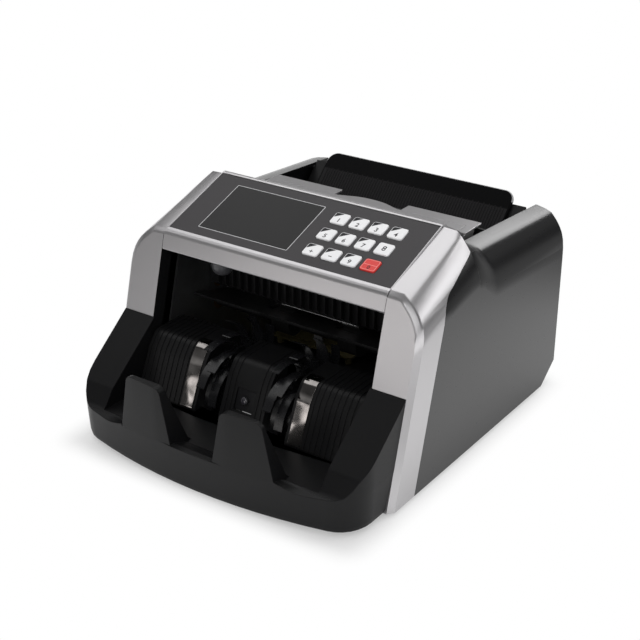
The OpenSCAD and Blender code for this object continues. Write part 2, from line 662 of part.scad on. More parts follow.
// A key: the cap, the flange that holds it under the hood and its stem
module key(row, col) {
    cap_low = -overlay_t - wall;
    face = row == 3 && col == 4 ? [0.75, 0.13, 0.12] : [0.9, 0.9, 0.91];
    color(face) on_panel() translate([key_x0 + (col - 1) * key_dx, key_s0 + (3 - row) * key_dy, 0]) {
        translate([0, 0, cap_low - gap]) linear_extrude(key_rise - 0.3 - cap_low + gap)
            polygon(box_outline(key_w, key_l, 1.8));
        translate([0, 0, key_rise - 0.31]) linear_extrude(0.31) polygon(box_outline(key_w - 0.6,
            key_l - 0.6, 1.6));
        translate([0, 0, cap_low - gap - 1]) linear_extrude(1)
            polygon(box_outline(key_w + 2.4, key_l + 2.4, 2.4));
        translate([0, 0, -board_n + board_t + switch_h + key_travel + gap])
            cylinder(h = board_n - board_t - switch_h - key_travel - gap + cap_low - gap - 0.9, r = 2.2);
    }
}

// ---- hopper -------------------------------------------------------------------------------------
module feed_gates() {
    color([0.55, 0.55, 0.57]) both_sides() translate([0, 0, deck_z - gate_t]) linear_extrude(gate_t)
        polygon(rounded([[gate_x, deck_end + gap, 0.6], [gate_leg + gap, deck_end + gap, 0.6],
            [gate_leg + gap, deck_y + 1, 0.6], [deck_half, deck_y + 1, 1.5],
                [deck_half, deck_end + gate_over, 1.5],
            [gate_x, deck_end + gate_over, 1]]));
}
module hopper_front_wall() {
    half = bay - gap;
    color([0.09, 0.09, 0.1]) {
        difference() {
            union() {
                block([-half, hopper_y - front_wall_t, pick_z - pick_r - 11],
                    [half, hopper_y, deck_z - hood_t]);
                // shelf that carries the gates and the deck's edge
                block([gap + wall - deck_half, deck_end - 8, deck_z - hood_t - 2],
                    [deck_half - wall - gap, hopper_y, deck_z - hood_t]);
            }
            both_sides() block([roller_x - roller_w / 2 - 1.5, hopper_y - 9, pick_z - pick_r - 2],
                [roller_x + roller_w / 2 + 1.5, hopper_y + 1, pick_z + pick_r + 2]);
        }
        // pads under the gates
        both_sides() block([gate_x + 2, deck_end + 2, deck_z - hood_t - 0.1],
            [gate_leg, hopper_y, deck_z - gate_t]);
    }
}
// The note rest's frame: x across, y up its 45 degree slope, z out of its note face
module on_rest() { translate([0, rest_top_y, rest_z]) rotate([45, 0, 0]) children(); }
module note_rest() {
    rib_pitch = 5;
    color([0.1, 0.1, 0.11]) on_rest() {
        translate([0, 0, -rest_t]) linear_extrude(rest_t) polygon(rounded([[-rest_w / 2, -rest_l, 2],
            [rest_w / 2, -rest_l, 2], [rest_w / 2, -1, 9], [rest_w / 2 - 9, -1 + 1, 9],
            [9 - rest_w / 2, 0, 9], [-rest_w / 2, -1, 9]]));
        for (i = [0:floor((rest_w - 10) / rib_pitch)])
            translate([(i - floor((rest_w - 10) / rib_pitch) / 2) * rib_pitch - 0.6, 3 - rest_l, -0.01])
                cube([1.2, rest_l - 17 - 3 * (i % 2), 0.71]);
    }
}
module hopper_bed() {
    half = lip_x - gap;
    rib_d = 7;
    rib_s = 14; // the ribs run from here up the slope to the rear cover
    rib_l = (rear_face - wall - gap - throat_y) / cos(45) - rest_t - guide_t - rib_d - rib_s - 2;
    color([0.08, 0.08, 0.09]) on_rest() {
        translate([-half, -rest_l - 1, -rest_t - guide_t]) cube([2 * half, rest_l - 8, guide_t]);
        for (x = [-71.5, -1.5, 68.5])
            translate([x, rib_s - rest_l, -rest_t - guide_t - rib_d]) cube([3, rib_l, rib_d + 0.1]);
    }
}

// ---- frame --------------------------------------------------------------------------------------
// Axles carried by the side plates: [y, z, shaft radius]
stack_axle = [wheel_y, wheel_z, shaft_r];
drum_axle = [drum_y, drum_z, shaft_r];
pick_axle = [pick_y, pick_z, shaft_r];
exit_axle = [exit_y, exit_z, shaft_r];
nip_axle = [exit_y, nip_z, shaft_r - 1];
idler_axle = [drum_y, drum_z - drum_r - gap - idler_r, shaft_r - 1];
AXLES = [stack_axle, drum_axle, pick_axle, exit_axle, nip_axle, idler_axle];
function sleeve_r(a) = a[2] + 3;
// Tie bars: [y, z]
TIES = [[wheel_y + 39, foot_h + 12], [drum_y - drum_r, deck_z - 22], [rear_y - 35, throat_z - 29],
    [rear_y - 33, foot_h + 17]];
tie_r = 4;

module plate_outline() {
    polygon(rounded([[face_y(foot_h) + 22, pan_top, 4], [face_y(panel_z - 16) + 22, panel_z - 16, 8],
        [panel_top_y - 8, panel_z - 3, 8], [hopper_y - 1, deck_z - 6, 4],
        [hopper_y + 2, throat_z - 6, 3], [rear_y - 24, throat_z - 6, 10], [rear_y - 24, foot_h + 20, 8],
        [rear_y - 36, pan_top, 4]]));
}
module frame_plate() {
    flange = 10;
    color([0.45, 0.46, 0.48]) difference() {
        union() {
            along_x(plate_x, plate_out) plate_outline();
            // foot flange that stands on the base pan
            block([plate_x, face_y(foot_h) + 30, pan_top],
                [plate_out + flange, rear_y - 52, pan_top + plate_t]);
        }
        for (a = AXLES) rod_x(plate_x - 1, plate_out + 1, a[0], a[1], sleeve_r(a) + run_gap);
        for (t = TIES) rod_x(plate_x - 1, plate_out + 1, t[0], t[1], 2.1);
        for (m = [[motor_y, motor_z], [stack_motor_y, stack_motor_z]])
            rod_x(plate_x - 1, plate_out + 1, m[0], m[1], motor_shaft_r + 0.5);
        for (y = [foot_y + 56, foot_y + 136, rear_y - 72])
            translate([plate_out + flange / 2, y, 0]) cylinder(h = 30, r = 2.1);
    }
}
module left_frame_plate() { mirror([1, 0, 0]) frame_plate(); }
module right_frame_plate() { frame_plate(); }
module frame_tie_bars() {
    color([0.62, 0.62, 0.64]) for (t = TIES) rod_x(-plate_x, plate_x, t[0], t[1], tie_r);
}
module shaft_bearings() {
    color([0.72, 0.7, 0.66]) both_sides() for (a = AXLES) difference() {
        union() {
            rod_x(plate_x, plate_out, a[0], a[1], sleeve_r(a));
            rod_x(plate_out, plate_out + collar_t, a[0], a[1], sleeve_r(a) + 1.5);
        }
        rod_x(plate_x - 1, plate_out + collar_t + 1, a[0], a[1], a[2] + run_gap);
    }
}
// A shaft that runs in the side plates, its ends at x0 and x1
module shaft(a, x0, x1) { rod_x(x0, x1, a[0], a[1], a[2]); }
function shaft_end() = plate_out + collar_t + 1.5;

// ---- stacker ------------------------------------------------------------------------------------
function fin_side(side) = [for (i = [0:7]) let (r = fin_root + (wheel_r - fin_root) * i / 7,
    a = 58 * pow(i / 7, 1.3) + side * (2.2 / r * 57.3) * (1 - 0.65 * i / 7) / 2) r * [cos(a), sin(a)]];
module fins(turned) {
    for (k = [0:fin_count - 1]) rotate(turned + k * 360 / fin_count)
        polygon(concat(fin_side(-1), [for (i = [7:-1:0]) fin_side(1)[i]]));
}
module stacker_wheel(x) {
    row_w = (wheel_w - 1) / 2;
    color([0.16, 0.16, 0.18]) translate([0, wheel_y, wheel_z]) difference() {
        union() {
            rod_x(x - wheel_w / 2, x + wheel_w / 2, 0, 0, fin_root + 0.6);
            rod_x(x - 0.8, x + 0.8, 0, 0, fin_root + 7);
            along_x(x - wheel_w / 2, x - wheel_w / 2 + row_w) fins(0);
            along_x(x + wheel_w / 2 - row_w, x + wheel_w / 2) fins(180 / fin_count);
        }
        rod_x(x - wheel_w, x + wheel_w, 0, 0, shaft_r + 0.02);
    }
}
module left_stacker_wheel() { stacker_wheel(-wheel_x); }
module right_stacker_wheel() { stacker_wheel(wheel_x); }
module stacker_shaft() {
    color([0.7, 0.7, 0.72]) {
        shaft(stack_axle, -shaft_end(), pulley_x);
        pulley(stack_axle, pulley_x, stack_pulley_r);
    }
}
module pulley(a, x, r) {
    difference() {
        union() {
            rod_x(x, x + pulley_w, a[0], a[1], r);
            rod_x(x - 0.1, x + pulley_rim, a[0], a[1], r + belt_t + 0.8);
            rod_x(x + pulley_w - pulley_rim, x + pulley_w + 0.1, a[0], a[1], r + belt_t + 0.8);
        }
        // lightening holes
        if (r > 14) for (k = [0:4]) translate([0, a[0], a[1]]) rotate([72 * k, 0, 0])
            rod_x(x - 2, x + pulley_w + 2, 0, (r + 4) / 2 + 2, (r - 8) / 2.6);
    }
}
// Belt round two pulleys at p and q of radii a and b
function belt_line(p, q, a, b) =
    let (d = norm(q - p), t = atan2(q[1] - p[1], q[0] - p[0]), k = acos((a - b) / d), n = 14)
    concat([for (i = [0:n]) p + a * [cos(t + k + (360 - 2 * k) * i / n), sin(t + k + (360 - 2 * k) * i / n)]],
        [for (i = [0:n]) q + b * [cos(t - k + 2 * k * i / n), sin(t - k + 2 * k * i / n)]]);
module belt(p, q, a, b, x) {
    c = [p[0], p[1]];
    d = [q[0], q[1]];
    inner = gap * 1.2;
    along_x(x + 0.5 * (pulley_w - belt_w), x + 0.5 * (pulley_w + belt_w)) difference() {
        polygon(belt_line(c, d, a + inner + belt_t, b + inner + belt_t));
        polygon(belt_line(c, d, a + inner, b + inner));
    }
}
module stacker_motor() {
    x0 = plate_x - stack_motor_l;
    color([0.6, 0.6, 0.63]) {
        difference() {
            rod_x(x0, plate_x - plate_t, stack_motor_y, stack_motor_z, stack_motor_r);
            rod_x(plate_x - 20, plate_x, stack_motor_y, stack_motor_z, motor_shaft_r + run_gap);
        }
        // saddle on the base pan
        block([x0 + 4, stack_motor_y - 9, pan_top], [plate_x - plate_t - 2, stack_motor_y + 9,
            stack_motor_z - stack_motor_r * 0.7]);
    }
}
module stacker_pulley() {
    a = [stack_motor_y, stack_motor_z, motor_shaft_r];
    color([0.85, 0.84, 0.8]) {
        rod_x(plate_x - 18, pulley_x, a[0], a[1], a[2]);
        pulley(a, pulley_x, small_pulley_r);
    }
}

// ---- feed ---------------------------------------------------------------------------------------
module feed_drum() {
    hub = drum_r - 5;
    color([0.82, 0.81, 0.78]) {
        shaft(drum_axle, -pulley_x - pulley_w - gap, pulley_x);
        both_sides() difference() {
            rod_x(roller_x - roller_w / 2 - 1, roller_x + roller_w / 2 + 1, drum_y, drum_z, hub);
            for (k = [0:5]) translate([0, drum_y, drum_z]) rotate([60 * k + 30, 0, 0])
                rod_x(roller_x - roller_w, roller_x + roller_w, 0, hub * 0.62, 3.4);
        }
        rod_x(-roller_x, roller_x, drum_y, drum_z, shaft_r + 3);
        pulley(drum_axle, pulley_x, drum_pulley_r);
        mirror([1, 0, 0]) {
            pulley(drum_axle, pulley_x, small_pulley_r);
            rod_x(pulley_x + pulley_w - 0.1, pulley_x + row_step, drum_y, drum_z, shaft_r);
            pulley(drum_axle, pulley_x + row_step, small_pulley_r);
        }
    }
}
module feed_tyres() {
    // rubber covers part of the round, as the grip that pulls each note in
    color([0.2, 0.2, 0.2]) both_sides() difference() {
        ring_x(roller_x - roller_w / 2, roller_x + roller_w / 2, drum_y, drum_z, drum_r, drum_r - 5);
        for (k = [0:23]) translate([0, drum_y, drum_z]) rotate([k * 15, 0, 0])
            block([0, -0.5, drum_r - 0.7], [roller_x + roller_w, 0.5, drum_r + 1]);
    }
}
module pickup_rollers() {
    color([0.22, 0.22, 0.22]) {
        shaft(pick_axle, -pulley_x, shaft_end());
        both_sides() difference() {
            rod_x(roller_x - roller_w / 2, roller_x + roller_w / 2, pick_y, pick_z, pick_r);
            for (k = [0:11]) translate([0, pick_y, pick_z]) rotate([k * 30, 0, 0])
                block([0, -0.5, pick_r - 0.7], [roller_x + roller_w, 0.5, pick_r + 1]);
        }
        mirror([1, 0, 0]) pulley(pick_axle, pulley_x, small_pulley_r);
    }
}
arm_in = roller_x + roller_w / 2 + 1.5;
arm_t = 2;
sep_shaft_r = 3;
yoke_y = sep_y + sep_r + 3; // front face of the yoke's cross plate
module separator_rollers() {
    color([0.42, 0.25, 0.2]) {
        rod_x(-arm_in - arm_t - 1, arm_in + arm_t + 1, sep_y, sep_z, sep_shaft_r);
        both_sides() rod_x(roller_x - roller_w / 2, roller_x + roller_w / 2, sep_y, sep_z, sep_r);
    }
}
module separator_bracket() {
    // a sheet yoke: two arms, a cross plate and the boss of the setting screw
    color([0.66, 0.66, 0.68]) difference() {
        union() {
            both_sides() along_x(arm_in, arm_in + arm_t)
                polygon(rounded([[sep_y - 6, sep_z - 6, 5], [yoke_y + 2, sep_z - 9, 1],
                    [yoke_y + 2, sep_z + 6, 1],
                    [sep_y - 6, sep_z + 6, 5]]));
            block([-arm_in - 1, yoke_y, sep_z - 9], [arm_in + 1, yoke_y + arm_t, sep_z + 6]);
            rod_y(yoke_y, yoke_y + 12, 0, sep_z, 6);
        }
        both_sides() rod_x(arm_in - 1, arm_in + arm_t + 1, sep_y, sep_z, sep_shaft_r + run_gap);
        rod_y(yoke_y - 1, yoke_y + 20, 0, sep_z, screw_r + run_gap);
    }
}
module gap_knob() {
    color([0.08, 0.08, 0.09]) {
        rod_y(yoke_y + 3, rear_face + 0.5, 0, sep_z, screw_r);
        // shoulder inside the rear cover
        rod_y(rear_face - wall - gap - 2, rear_face - wall - gap, 0, sep_z, screw_r + 3);
        difference() {
            rod_y(rear_face + gap, rear_face + 10, 0, sep_z, knob_r);
            for (k = [0:17]) translate([0, 0, sep_z]) rotate([0, k * 20, 0])
                rod_y(rear_face, rear_face + 11, knob_r + 0.4, 0, 0.9);
            // pointer slot
            block([-0.8, rear_face + 9.2, sep_z], [0.8, rear_face + 11, sep_z + knob_r + 1]);
        }
    }
}
module roller_row(a, r, x0, x1) {
    shaft(a, x0, x1);
    both_sides() rod_x(roller_x - roller_w / 2, roller_x + roller_w / 2, a[0], a[1], r);
}
module exit_rollers() {
    color([0.2, 0.2, 0.2]) {
        roller_row(exit_axle, exit_r, -pulley_x - row_step, shaft_end());
        mirror([1, 0, 0]) pulley(exit_axle, pulley_x + row_step, small_pulley_r);
    }
}
module exit_nip_rollers() { color([0.75, 0.75, 0.77]) roller_row(nip_axle, nip_r, -shaft_end(),
    shaft_end()); }
module pressure_idlers() { color([0.75, 0.75, 0.77]) roller_row(idler_axle, idler_r, -shaft_end(),
    shaft_end()); }
module roller_slots(a, r, clear) {
    both_sides() block([roller_x - roller_w / 2 - clear, a[0] - r, a[1] - 20],
        [roller_x + roller_w / 2 + clear, a[0] + r, a[1] + 20]);
}
module lower_guide() {
    half = bay - gap;
    start = -58;
    sweep = 270 + start + climb;
    n = 12;
    c = [drum_y, drum_z];
    under = [for (i = [0:n]) let (a = start - (90 + start + climb) * i / n)
        c + (path_r + guide_t) * [cos(a), sin(a)]];
    over = [for (i = [0:n]) let (a = start - (90 + start + climb) * i / n) c + path_r * [cos(a), sin(a)]];
    color([0.07, 0.07, 0.08]) difference() {
        along_x(-half, half) polygon(concat(over, [[guide_end_y, path_z(guide_end_y)],
            [guide_end_y, path_z(guide_end_y) - guide_t]], [for (i = [n:-1:0]) under[i]]));
        roller_slots(exit_axle, exit_r + 1, 1.5);
        roller_slots(idler_axle, idler_r + 1.5, 1.5);
    }
}
module upper_guide() {
    half = bay - gap;
    rib_pitch = 7;
    count = floor((half - 6) / rib_pitch);
    front = guide_front;
    low = path_z(front) + 7;
    high = guide_high;
    back = drum_y - drum_r - 1.3; // clear of the drum
    color([0.07, 0.07, 0.08]) {
        along_x(-half, half) polygon(sheet([[back, path_z(back) + path_gap + 12, 0],
            [back - 0.41 * (back - front), high, 8], [front, high, 5], [front, low, 0]], guide_t));
        for (i = [-count:count]) along_x(i * rib_pitch - 0.6, i * rib_pitch + 0.6)
            polygon([[front + 0.2, low], [front - 4, low + 4], [front - 4, high - 6],
                [front + 0.2, high - 2]]);
    }
}
lamp_x = -57;
lamp_y = panel_y + 14;
lamp_r = 8.5;
guide_front = exit_y - nip_r - 4; // front face of the upper guide
guide_high = panel_z - 18; // its top face
module bay_lamp() {
    // domed lamp over the stacker on an arm that stands on the upper guide
    color([0.6, 0.6, 0.62]) {
        translate([lamp_x, lamp_y, guide_high - 7]) cylinder(h = 9, r = lamp_r);
        translate([lamp_x, lamp_y, guide_high - 7]) intersection() {
            sphere(r = lamp_r);
            translate([0, 0, -5]) cube([30, 30, 10.02], center = true);
        }
        block([lamp_x - 5, lamp_y, guide_high], [lamp_x + 5, guide_front + 14, guide_high + 2]);
    }
}

// ---- drives -------------------------------------------------------------------------------------
module main_motor() {
    x1 = plate_x;
    x0 = arm_in + arm_t + 3; // it fills the room beside the separator's yoke
    color([0.5, 0.5, 0.53]) {
        difference() {
            union() {
                rod_x(x0, x1 - 8, motor_y, motor_z, motor_r);
                rod_x(x1 - 8, x1, motor_y, motor_z, motor_r - 9);
            }
            rod_x(x1 - 40, x1 + 1, motor_y, motor_z, motor_shaft_r + run_gap);
            for (k = [-4:4]) translate([0, motor_y, motor_z]) rotate([k * 30, 0, 0])
                block([x0 + 8, -1.5, motor_r - 1.5], [x1 - 16, 1.5, motor_r + 1]);
        }
        block([x0 + 6, motor_y - 20, pan_top], [x1 - 14, motor_y + 20, motor_z - motor_r * 0.8]);
    }
}
module motor_pulley() {
    a = [motor_y, motor_z, motor_shaft_r];
    color([0.85, 0.84, 0.8]) {
        rod_x(plate_x - 38, pulley_x, a[0], a[1], a[2]);
        pulley(a, pulley_x, small_pulley_r);
    }
}
module drive_belts() {
    color([0.05, 0.05, 0.05]) {
        belt(drum_axle, [motor_y, motor_z], drum_pulley_r, small_pulley_r, pulley_x);
        belt(stack_axle, [stack_motor_y, stack_motor_z], stack_pulley_r, small_pulley_r, pulley_x);
        mirror([1, 0, 0]) {
            belt(drum_axle, pick_axle, small_pulley_r, small_pulley_r, pulley_x);
            belt(drum_axle, exit_axle, small_pulley_r, small_pulley_r, pulley_x + row_step);
        }
    }
}
module power_supply() {
    // circuit board with a transformer and two capacitors, on four pillars
    pillar_h = 6;
    board_z = pan_top + pillar_h + board_t;
    color([0.35, 0.33, 0.2]) translate([supply_x, supply_y, 0]) {
        for (x = [-1, 1], y = [-1, 1])
            translate([x * (supply_w / 2 - 5), y * (supply_d / 2 - 5), pan_top]) cylinder(h = pillar_h,
                r = 3);
        translate([0, 0, pan_top + pillar_h]) linear_extrude(board_t) polygon(box_outline(supply_w,
            supply_d, 2));
        translate([core_w / 2 + 6 - supply_w / 2, 0, board_z]) linear_extrude(core_h)
            polygon(box_outline(core_w, core_w + 8, 3));
        for (y = [-1, 1]) translate([supply_w / 2 - 25, y * 11, board_z]) cylinder(h = 21 - 3 * y, r = 7.5);
    }
}

// ---- base and back ------------------------------------------------------------------------------
// Corners of the pan behind the tray, on side s: narrow between the trims, then full width
function pan_side(s, back) = let (full = half_w - wall - gap, neck = bay - gap,
    y = face_y(pan_top) + jamb_d + gap)
    back == 0 ? (s < 0 ? [[s * neck, foot_y - 4, 0], [s * neck, y, 0], [s * full, y, 0]]
        : [[s * full, y, 0], [s * neck, y, 0], [s * neck, foot_y - 4, 0]])
        : [[s * full, rear_y - 36.3, 0]];
module base_pan() {
    color([0.1, 0.1, 0.11]) difference() {
        union() {
            translate([0, 0, foot_h + 0.1]) linear_extrude(pan_top - foot_h - 0.1) polygon(rounded(concat(
                [for (p = tray_plan(wall + 3.9)) if (p[1] < foot_y - 5) [p[0], p[1], 0]],
                [for (p = [[-1, 0], [-1, 1], [1, 1], [1, 0]]) each pan_side(p[0], p[1])])));
            // rails that stiffen the pan
            for (y = [foot_y + 30, vent_y - 3, rear_y - 98])
                block([11 - bay, y, pan_top - 0.1], [bay - 11, y + 2.5, pan_top + 3]);
        }
        // cooling slots
        both_sides() for (i = [0:8])
            block([30 + i * 5, vent_y, 0], [32.5 + i * 5, vent_y + 30, 20]);
        both_sides() block([slot_in - 1, apron_foot - 6, -1], [slot_out + 1, wheel_y + wheel_r + 1, 20]);
    }
}
module rubber_feet() {
    color([0.06, 0.06, 0.06]) for (y = [foot_front_y, foot_rear_y]) both_sides() translate([foot_x, y, 0]) {
        cylinder(h = 1, r1 = foot_r - 0.8, r2 = foot_r);
        translate([0, 0, 1]) cylinder(h = foot_h + 0.1 - 1, r = foot_r);
    }
}
module rear_cover() {
    half = cover_x - gap;
    // the top edge meets the underside of the hopper's bed
    top = rest_z - (rest_top_y - rear_face + wall) - (rest_t + guide_t) * sqrt(2);
    color([0.12, 0.12, 0.13]) difference() {
        along_x(-half, half) polygon(sheet([[rear_y - 36, foot_h + 0.4, 0], [rear_face - 12, foot_h + 0.4, 1],
            [rear_face, foot_h + 15, 4], [rear_face, top, 0]], wall));
        // cooling slots
        for (i = [-8:8]) if (abs(i) > 1) translate([i * 8, rear_face - wall - 1, 96])
            rotate([-90, 0, 0]) linear_extrude(wall + 2) polygon(box_outline(3, 30, 1.4));
        rod_y(rear_face - wall - 1, rear_face + 1, 0, sep_z, screw_r + 0.4);
        block([inlet_x - 13.75, rear_face - wall - 1, inlet_z - 10],
            [inlet_x + 13.75, rear_face + 1, inlet_z + 10]);
        block([switch_x - 9.5, rear_face - wall - 1, switch_z - 6.5],
            [switch_x + 9.5, rear_face + 1, switch_z + 6.5]);
    }
}
module power_inlet() {
    // three-pin appliance inlet
    color([0.05, 0.05, 0.05]) translate([inlet_x, rear_face, inlet_z]) difference() {
        union() {
            block([-16.5, 0, -12.5], [16.5, 2, 12.5]);
            block([-13.5, -20, -9.7], [13.5, 0.1, 9.7]);
        }
        translate([0, 2.1, 0]) rotate([90, 0, 0]) linear_extrude(17.1) polygon(rounded([[-12.1, -8, 1.5],
            [12.1, -8, 1.5], [12.1, 4, 1], [7.5, 8, 1], [-7.5, 8, 1], [-12.1, 4, 1]]));
    }
}
module inlet_pins() {
    color([0.75, 0.72, 0.6]) translate([inlet_x, rear_face, inlet_z])
        for (p = [[-7, -2], [0, 2], [7, -2]]) block([p[0] - 1, -15, p[1] - 2], [p[0] + 1, -0.5, p[1] + 2]);
}
switch_pivot = rear_face - 3; // depth of the rocker's pin
module switch_frame() {
    color([0.04, 0.04, 0.04]) translate([switch_x, rear_face, switch_z]) difference() {
        union() {
            block([-11, 0, -8], [11, 1.5, 8]);
            block([-9.3, -15, -6.3], [9.3, 0.1, 6.3]);
        }
        block([-9, -11, -5.4], [9, 3, 5.4]);
    }
}
module power_switch() {
    // rocker of the mains switch, resting in its off position
    color([0.6, 0.08, 0.07]) translate([switch_x, switch_pivot, switch_z - 5.1]) rotate(-8) {
        linear_extrude(10.2) polygon([[-8.3, 2.4], [-4, 4], [4, 4], [8.3, 2.4], [8.3, -1.2], [3, -2.4],
            [-3, -2.4], [-8.3, -1.2]]);
        translate([0, 0, 0.2]) cylinder(h = 9.8, r = 3.9);
    }
}
module key_1_1() { key(1, 1); }
module key_1_2() { key(1, 2); }
module key_1_3() { key(1, 3); }
module key_1_4() { key(1, 4); }
module key_2_1() { key(2, 1); }
module key_2_2() { key(2, 2); }
module key_2_3() { key(2, 3); }
module key_2_4() { key(2, 4); }
module key_3_1() { key(3, 1); }
module key_3_2() { key(3, 2); }
module key_3_3() { key(3, 3); }
module key_3_4() { key(3, 4); }

base_pan();
front_tray();
stacker_apron();
guide_strips();
left_front_trim();
right_front_trim();
left_side_cover();
right_side_cover();
control_hood();
keypad_overlay();
display_window();
display_board();
key_1_1();
key_1_2();
key_1_3();
key_1_4();
key_2_1();
key_2_2();
key_2_3();
key_2_4();
key_3_1();
key_3_2();
key_3_3();
key_3_4();
feed_gates();
hopper_front_wall();
hopper_bed();
note_rest();
left_frame_plate();
right_frame_plate();
frame_tie_bars();
shaft_bearings();
stacker_shaft();
left_stacker_wheel();
right_stacker_wheel();
tray_sensor();
bay_lamp();
stacker_motor();
stacker_pulley();
switch_frame();
feed_drum();
feed_tyres();
pickup_rollers();
separator_rollers();
separator_bracket();
gap_knob();
lower_guide();
upper_guide();
pressure_idlers();
exit_rollers();
exit_nip_rollers();
main_motor();
motor_pulley();
drive_belts();
power_supply();
rear_cover();
power_inlet();
inlet_pins();
power_switch();
rubber_feet();
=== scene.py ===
import json
import math

import bmesh
import bpy
from mathutils import Matrix, Vector

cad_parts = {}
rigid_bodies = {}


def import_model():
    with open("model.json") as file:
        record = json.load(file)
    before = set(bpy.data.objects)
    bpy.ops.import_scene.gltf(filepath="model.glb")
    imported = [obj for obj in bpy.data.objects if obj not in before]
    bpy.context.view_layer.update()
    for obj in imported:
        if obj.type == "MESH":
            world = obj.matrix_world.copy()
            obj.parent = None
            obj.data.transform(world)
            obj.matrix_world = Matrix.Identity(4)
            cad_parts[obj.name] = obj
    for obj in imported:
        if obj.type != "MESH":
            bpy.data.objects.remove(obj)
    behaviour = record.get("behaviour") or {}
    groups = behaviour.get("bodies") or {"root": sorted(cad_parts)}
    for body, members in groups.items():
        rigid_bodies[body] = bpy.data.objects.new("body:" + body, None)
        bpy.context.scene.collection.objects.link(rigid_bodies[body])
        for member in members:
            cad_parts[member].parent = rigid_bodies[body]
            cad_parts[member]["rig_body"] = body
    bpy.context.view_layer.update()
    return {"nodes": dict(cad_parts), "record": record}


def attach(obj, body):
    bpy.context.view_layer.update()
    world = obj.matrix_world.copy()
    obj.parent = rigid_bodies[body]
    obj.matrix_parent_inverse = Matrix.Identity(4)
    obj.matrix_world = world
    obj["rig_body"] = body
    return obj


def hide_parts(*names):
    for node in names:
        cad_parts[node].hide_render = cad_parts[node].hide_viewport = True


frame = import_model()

# The banknote counting machine's finish: materials, rounded edges, prints, small trim and stage.
NODES = frame["nodes"]
SLOT = {s["node"]: s["material_slot"] for s in frame["record"]["subparts"]}
MM = 0.001
scene = bpy.context.scene

# ---- sizes that the skin shares with the solids, in millimetres ----------------------------------
FOOT_Y, FOOT_H = -96.0, 4.0  # where the front face meets the feet
LEAN = math.tan(math.radians(15.1))  # backward lean of the front face
TILT = math.radians(19.7)  # slope of the keypad overlay
PANEL_Z = 144.4  # the overlay's front edge
PANEL_Y = FOOT_Y + LEAN * (PANEL_Z - FOOT_H) + 4
KEY_X0, KEY_S0 = 23.0, 14.6  # middle of the first key of the lowest row, across and up the slope
KEY_DX, KEY_DY = 15.6, 17.6  # spacing of the keys
KEY_W, KEY_L, KEY_RISE = 12.2, 11.4, 0.9
THROAT_Y, THROAT_Z = 80.0, 93.0  # foot of the note rest
REST_SLOPE = math.radians(45)
REST_W, REST_L, REST_T = 170.0, 82.0, 3.0
REST_R = 9.0  # its upper corners
SENSOR = (0, -91.1, 48.0)  # middle of the tray sensor's face
SENSOR_SLOPE = math.radians(20)
REAR_FACE = 133.0  # outer face of the rear cover


# ---- materials -----------------------------------------------------------------------------------
def material(name, base, rough, grain, mottle, metallic=0.0, specular=0.5, coat=0.0, coat_rough=0.1,
             mottle_scale=40.0, rough_var=0.0, streak=None, grain_scale=900.0, grain_depth=0.0002,
             grain_detail=4.0):
    """A painted, moulded or bare surface: colour mottle, uneven gloss and a fine surface grain.

    mottle is the share by which the colour varies and rough_var how far the roughness does. grain
    is the strength of the bump and grain_depth its depth in metres. streak squeezes the noise
    along an axis, as rolling and turning do.
    """
    m = bpy.data.materials.new(name)
    m.use_nodes = True
    nt = m.node_tree
    bsdf = nt.nodes["Principled BSDF"]
    for socket, value in (("Base Color", (*base, 1)), ("Metallic", metallic), ("Roughness", rough),
                          ("Specular IOR Level", specular), ("Coat Weight", coat),
                          ("Coat Roughness", coat_rough)):
        bsdf.inputs[socket].default_value = value
    coords = nt.nodes.new("ShaderNodeTexCoord")
    place = nt.nodes.new("ShaderNodeMapping")
    nt.links.new(coords.outputs["Object"], place.inputs["Vector"])
    if streak:
        place.inputs["Scale"].default_value = streak

    def noise(scale, detail=3.0):
        n = nt.nodes.new("ShaderNodeTexNoise")
        n.inputs["Scale"].default_value = scale
        n.inputs["Detail"].default_value = detail
        nt.links.new(place.outputs["Vector"], n.inputs["Vector"])
        return n.outputs["Fac"]

    def spread(value, middle, reach):
        n = nt.nodes.new("ShaderNodeMapRange")
        n.inputs["To Min"].default_value = middle - reach
        n.inputs["To Max"].default_value = middle + reach
        nt.links.new(value, n.inputs["Value"])
        return n.outputs["Result"]

    tint = nt.nodes.new("ShaderNodeVectorMath")
    tint.operation = "SCALE"
    tint.inputs[0].default_value = base
    nt.links.new(spread(noise(mottle_scale), 1, mottle), tint.inputs["Scale"])
    nt.links.new(tint.outputs["Vector"], bsdf.inputs["Base Color"])
    if rough_var:
        nt.links.new(spread(noise(mottle_scale * 3), rough, rough_var), bsdf.inputs["Roughness"])
    bump = nt.nodes.new("ShaderNodeBump")
    bump.inputs["Strength"].default_value = grain
    bump.inputs["Distance"].default_value = grain_depth
    nt.links.new(noise(grain_scale, grain_detail), bump.inputs["Height"])
    nt.links.new(bump.outputs["Normal"], bsdf.inputs["Normal"])
    return m


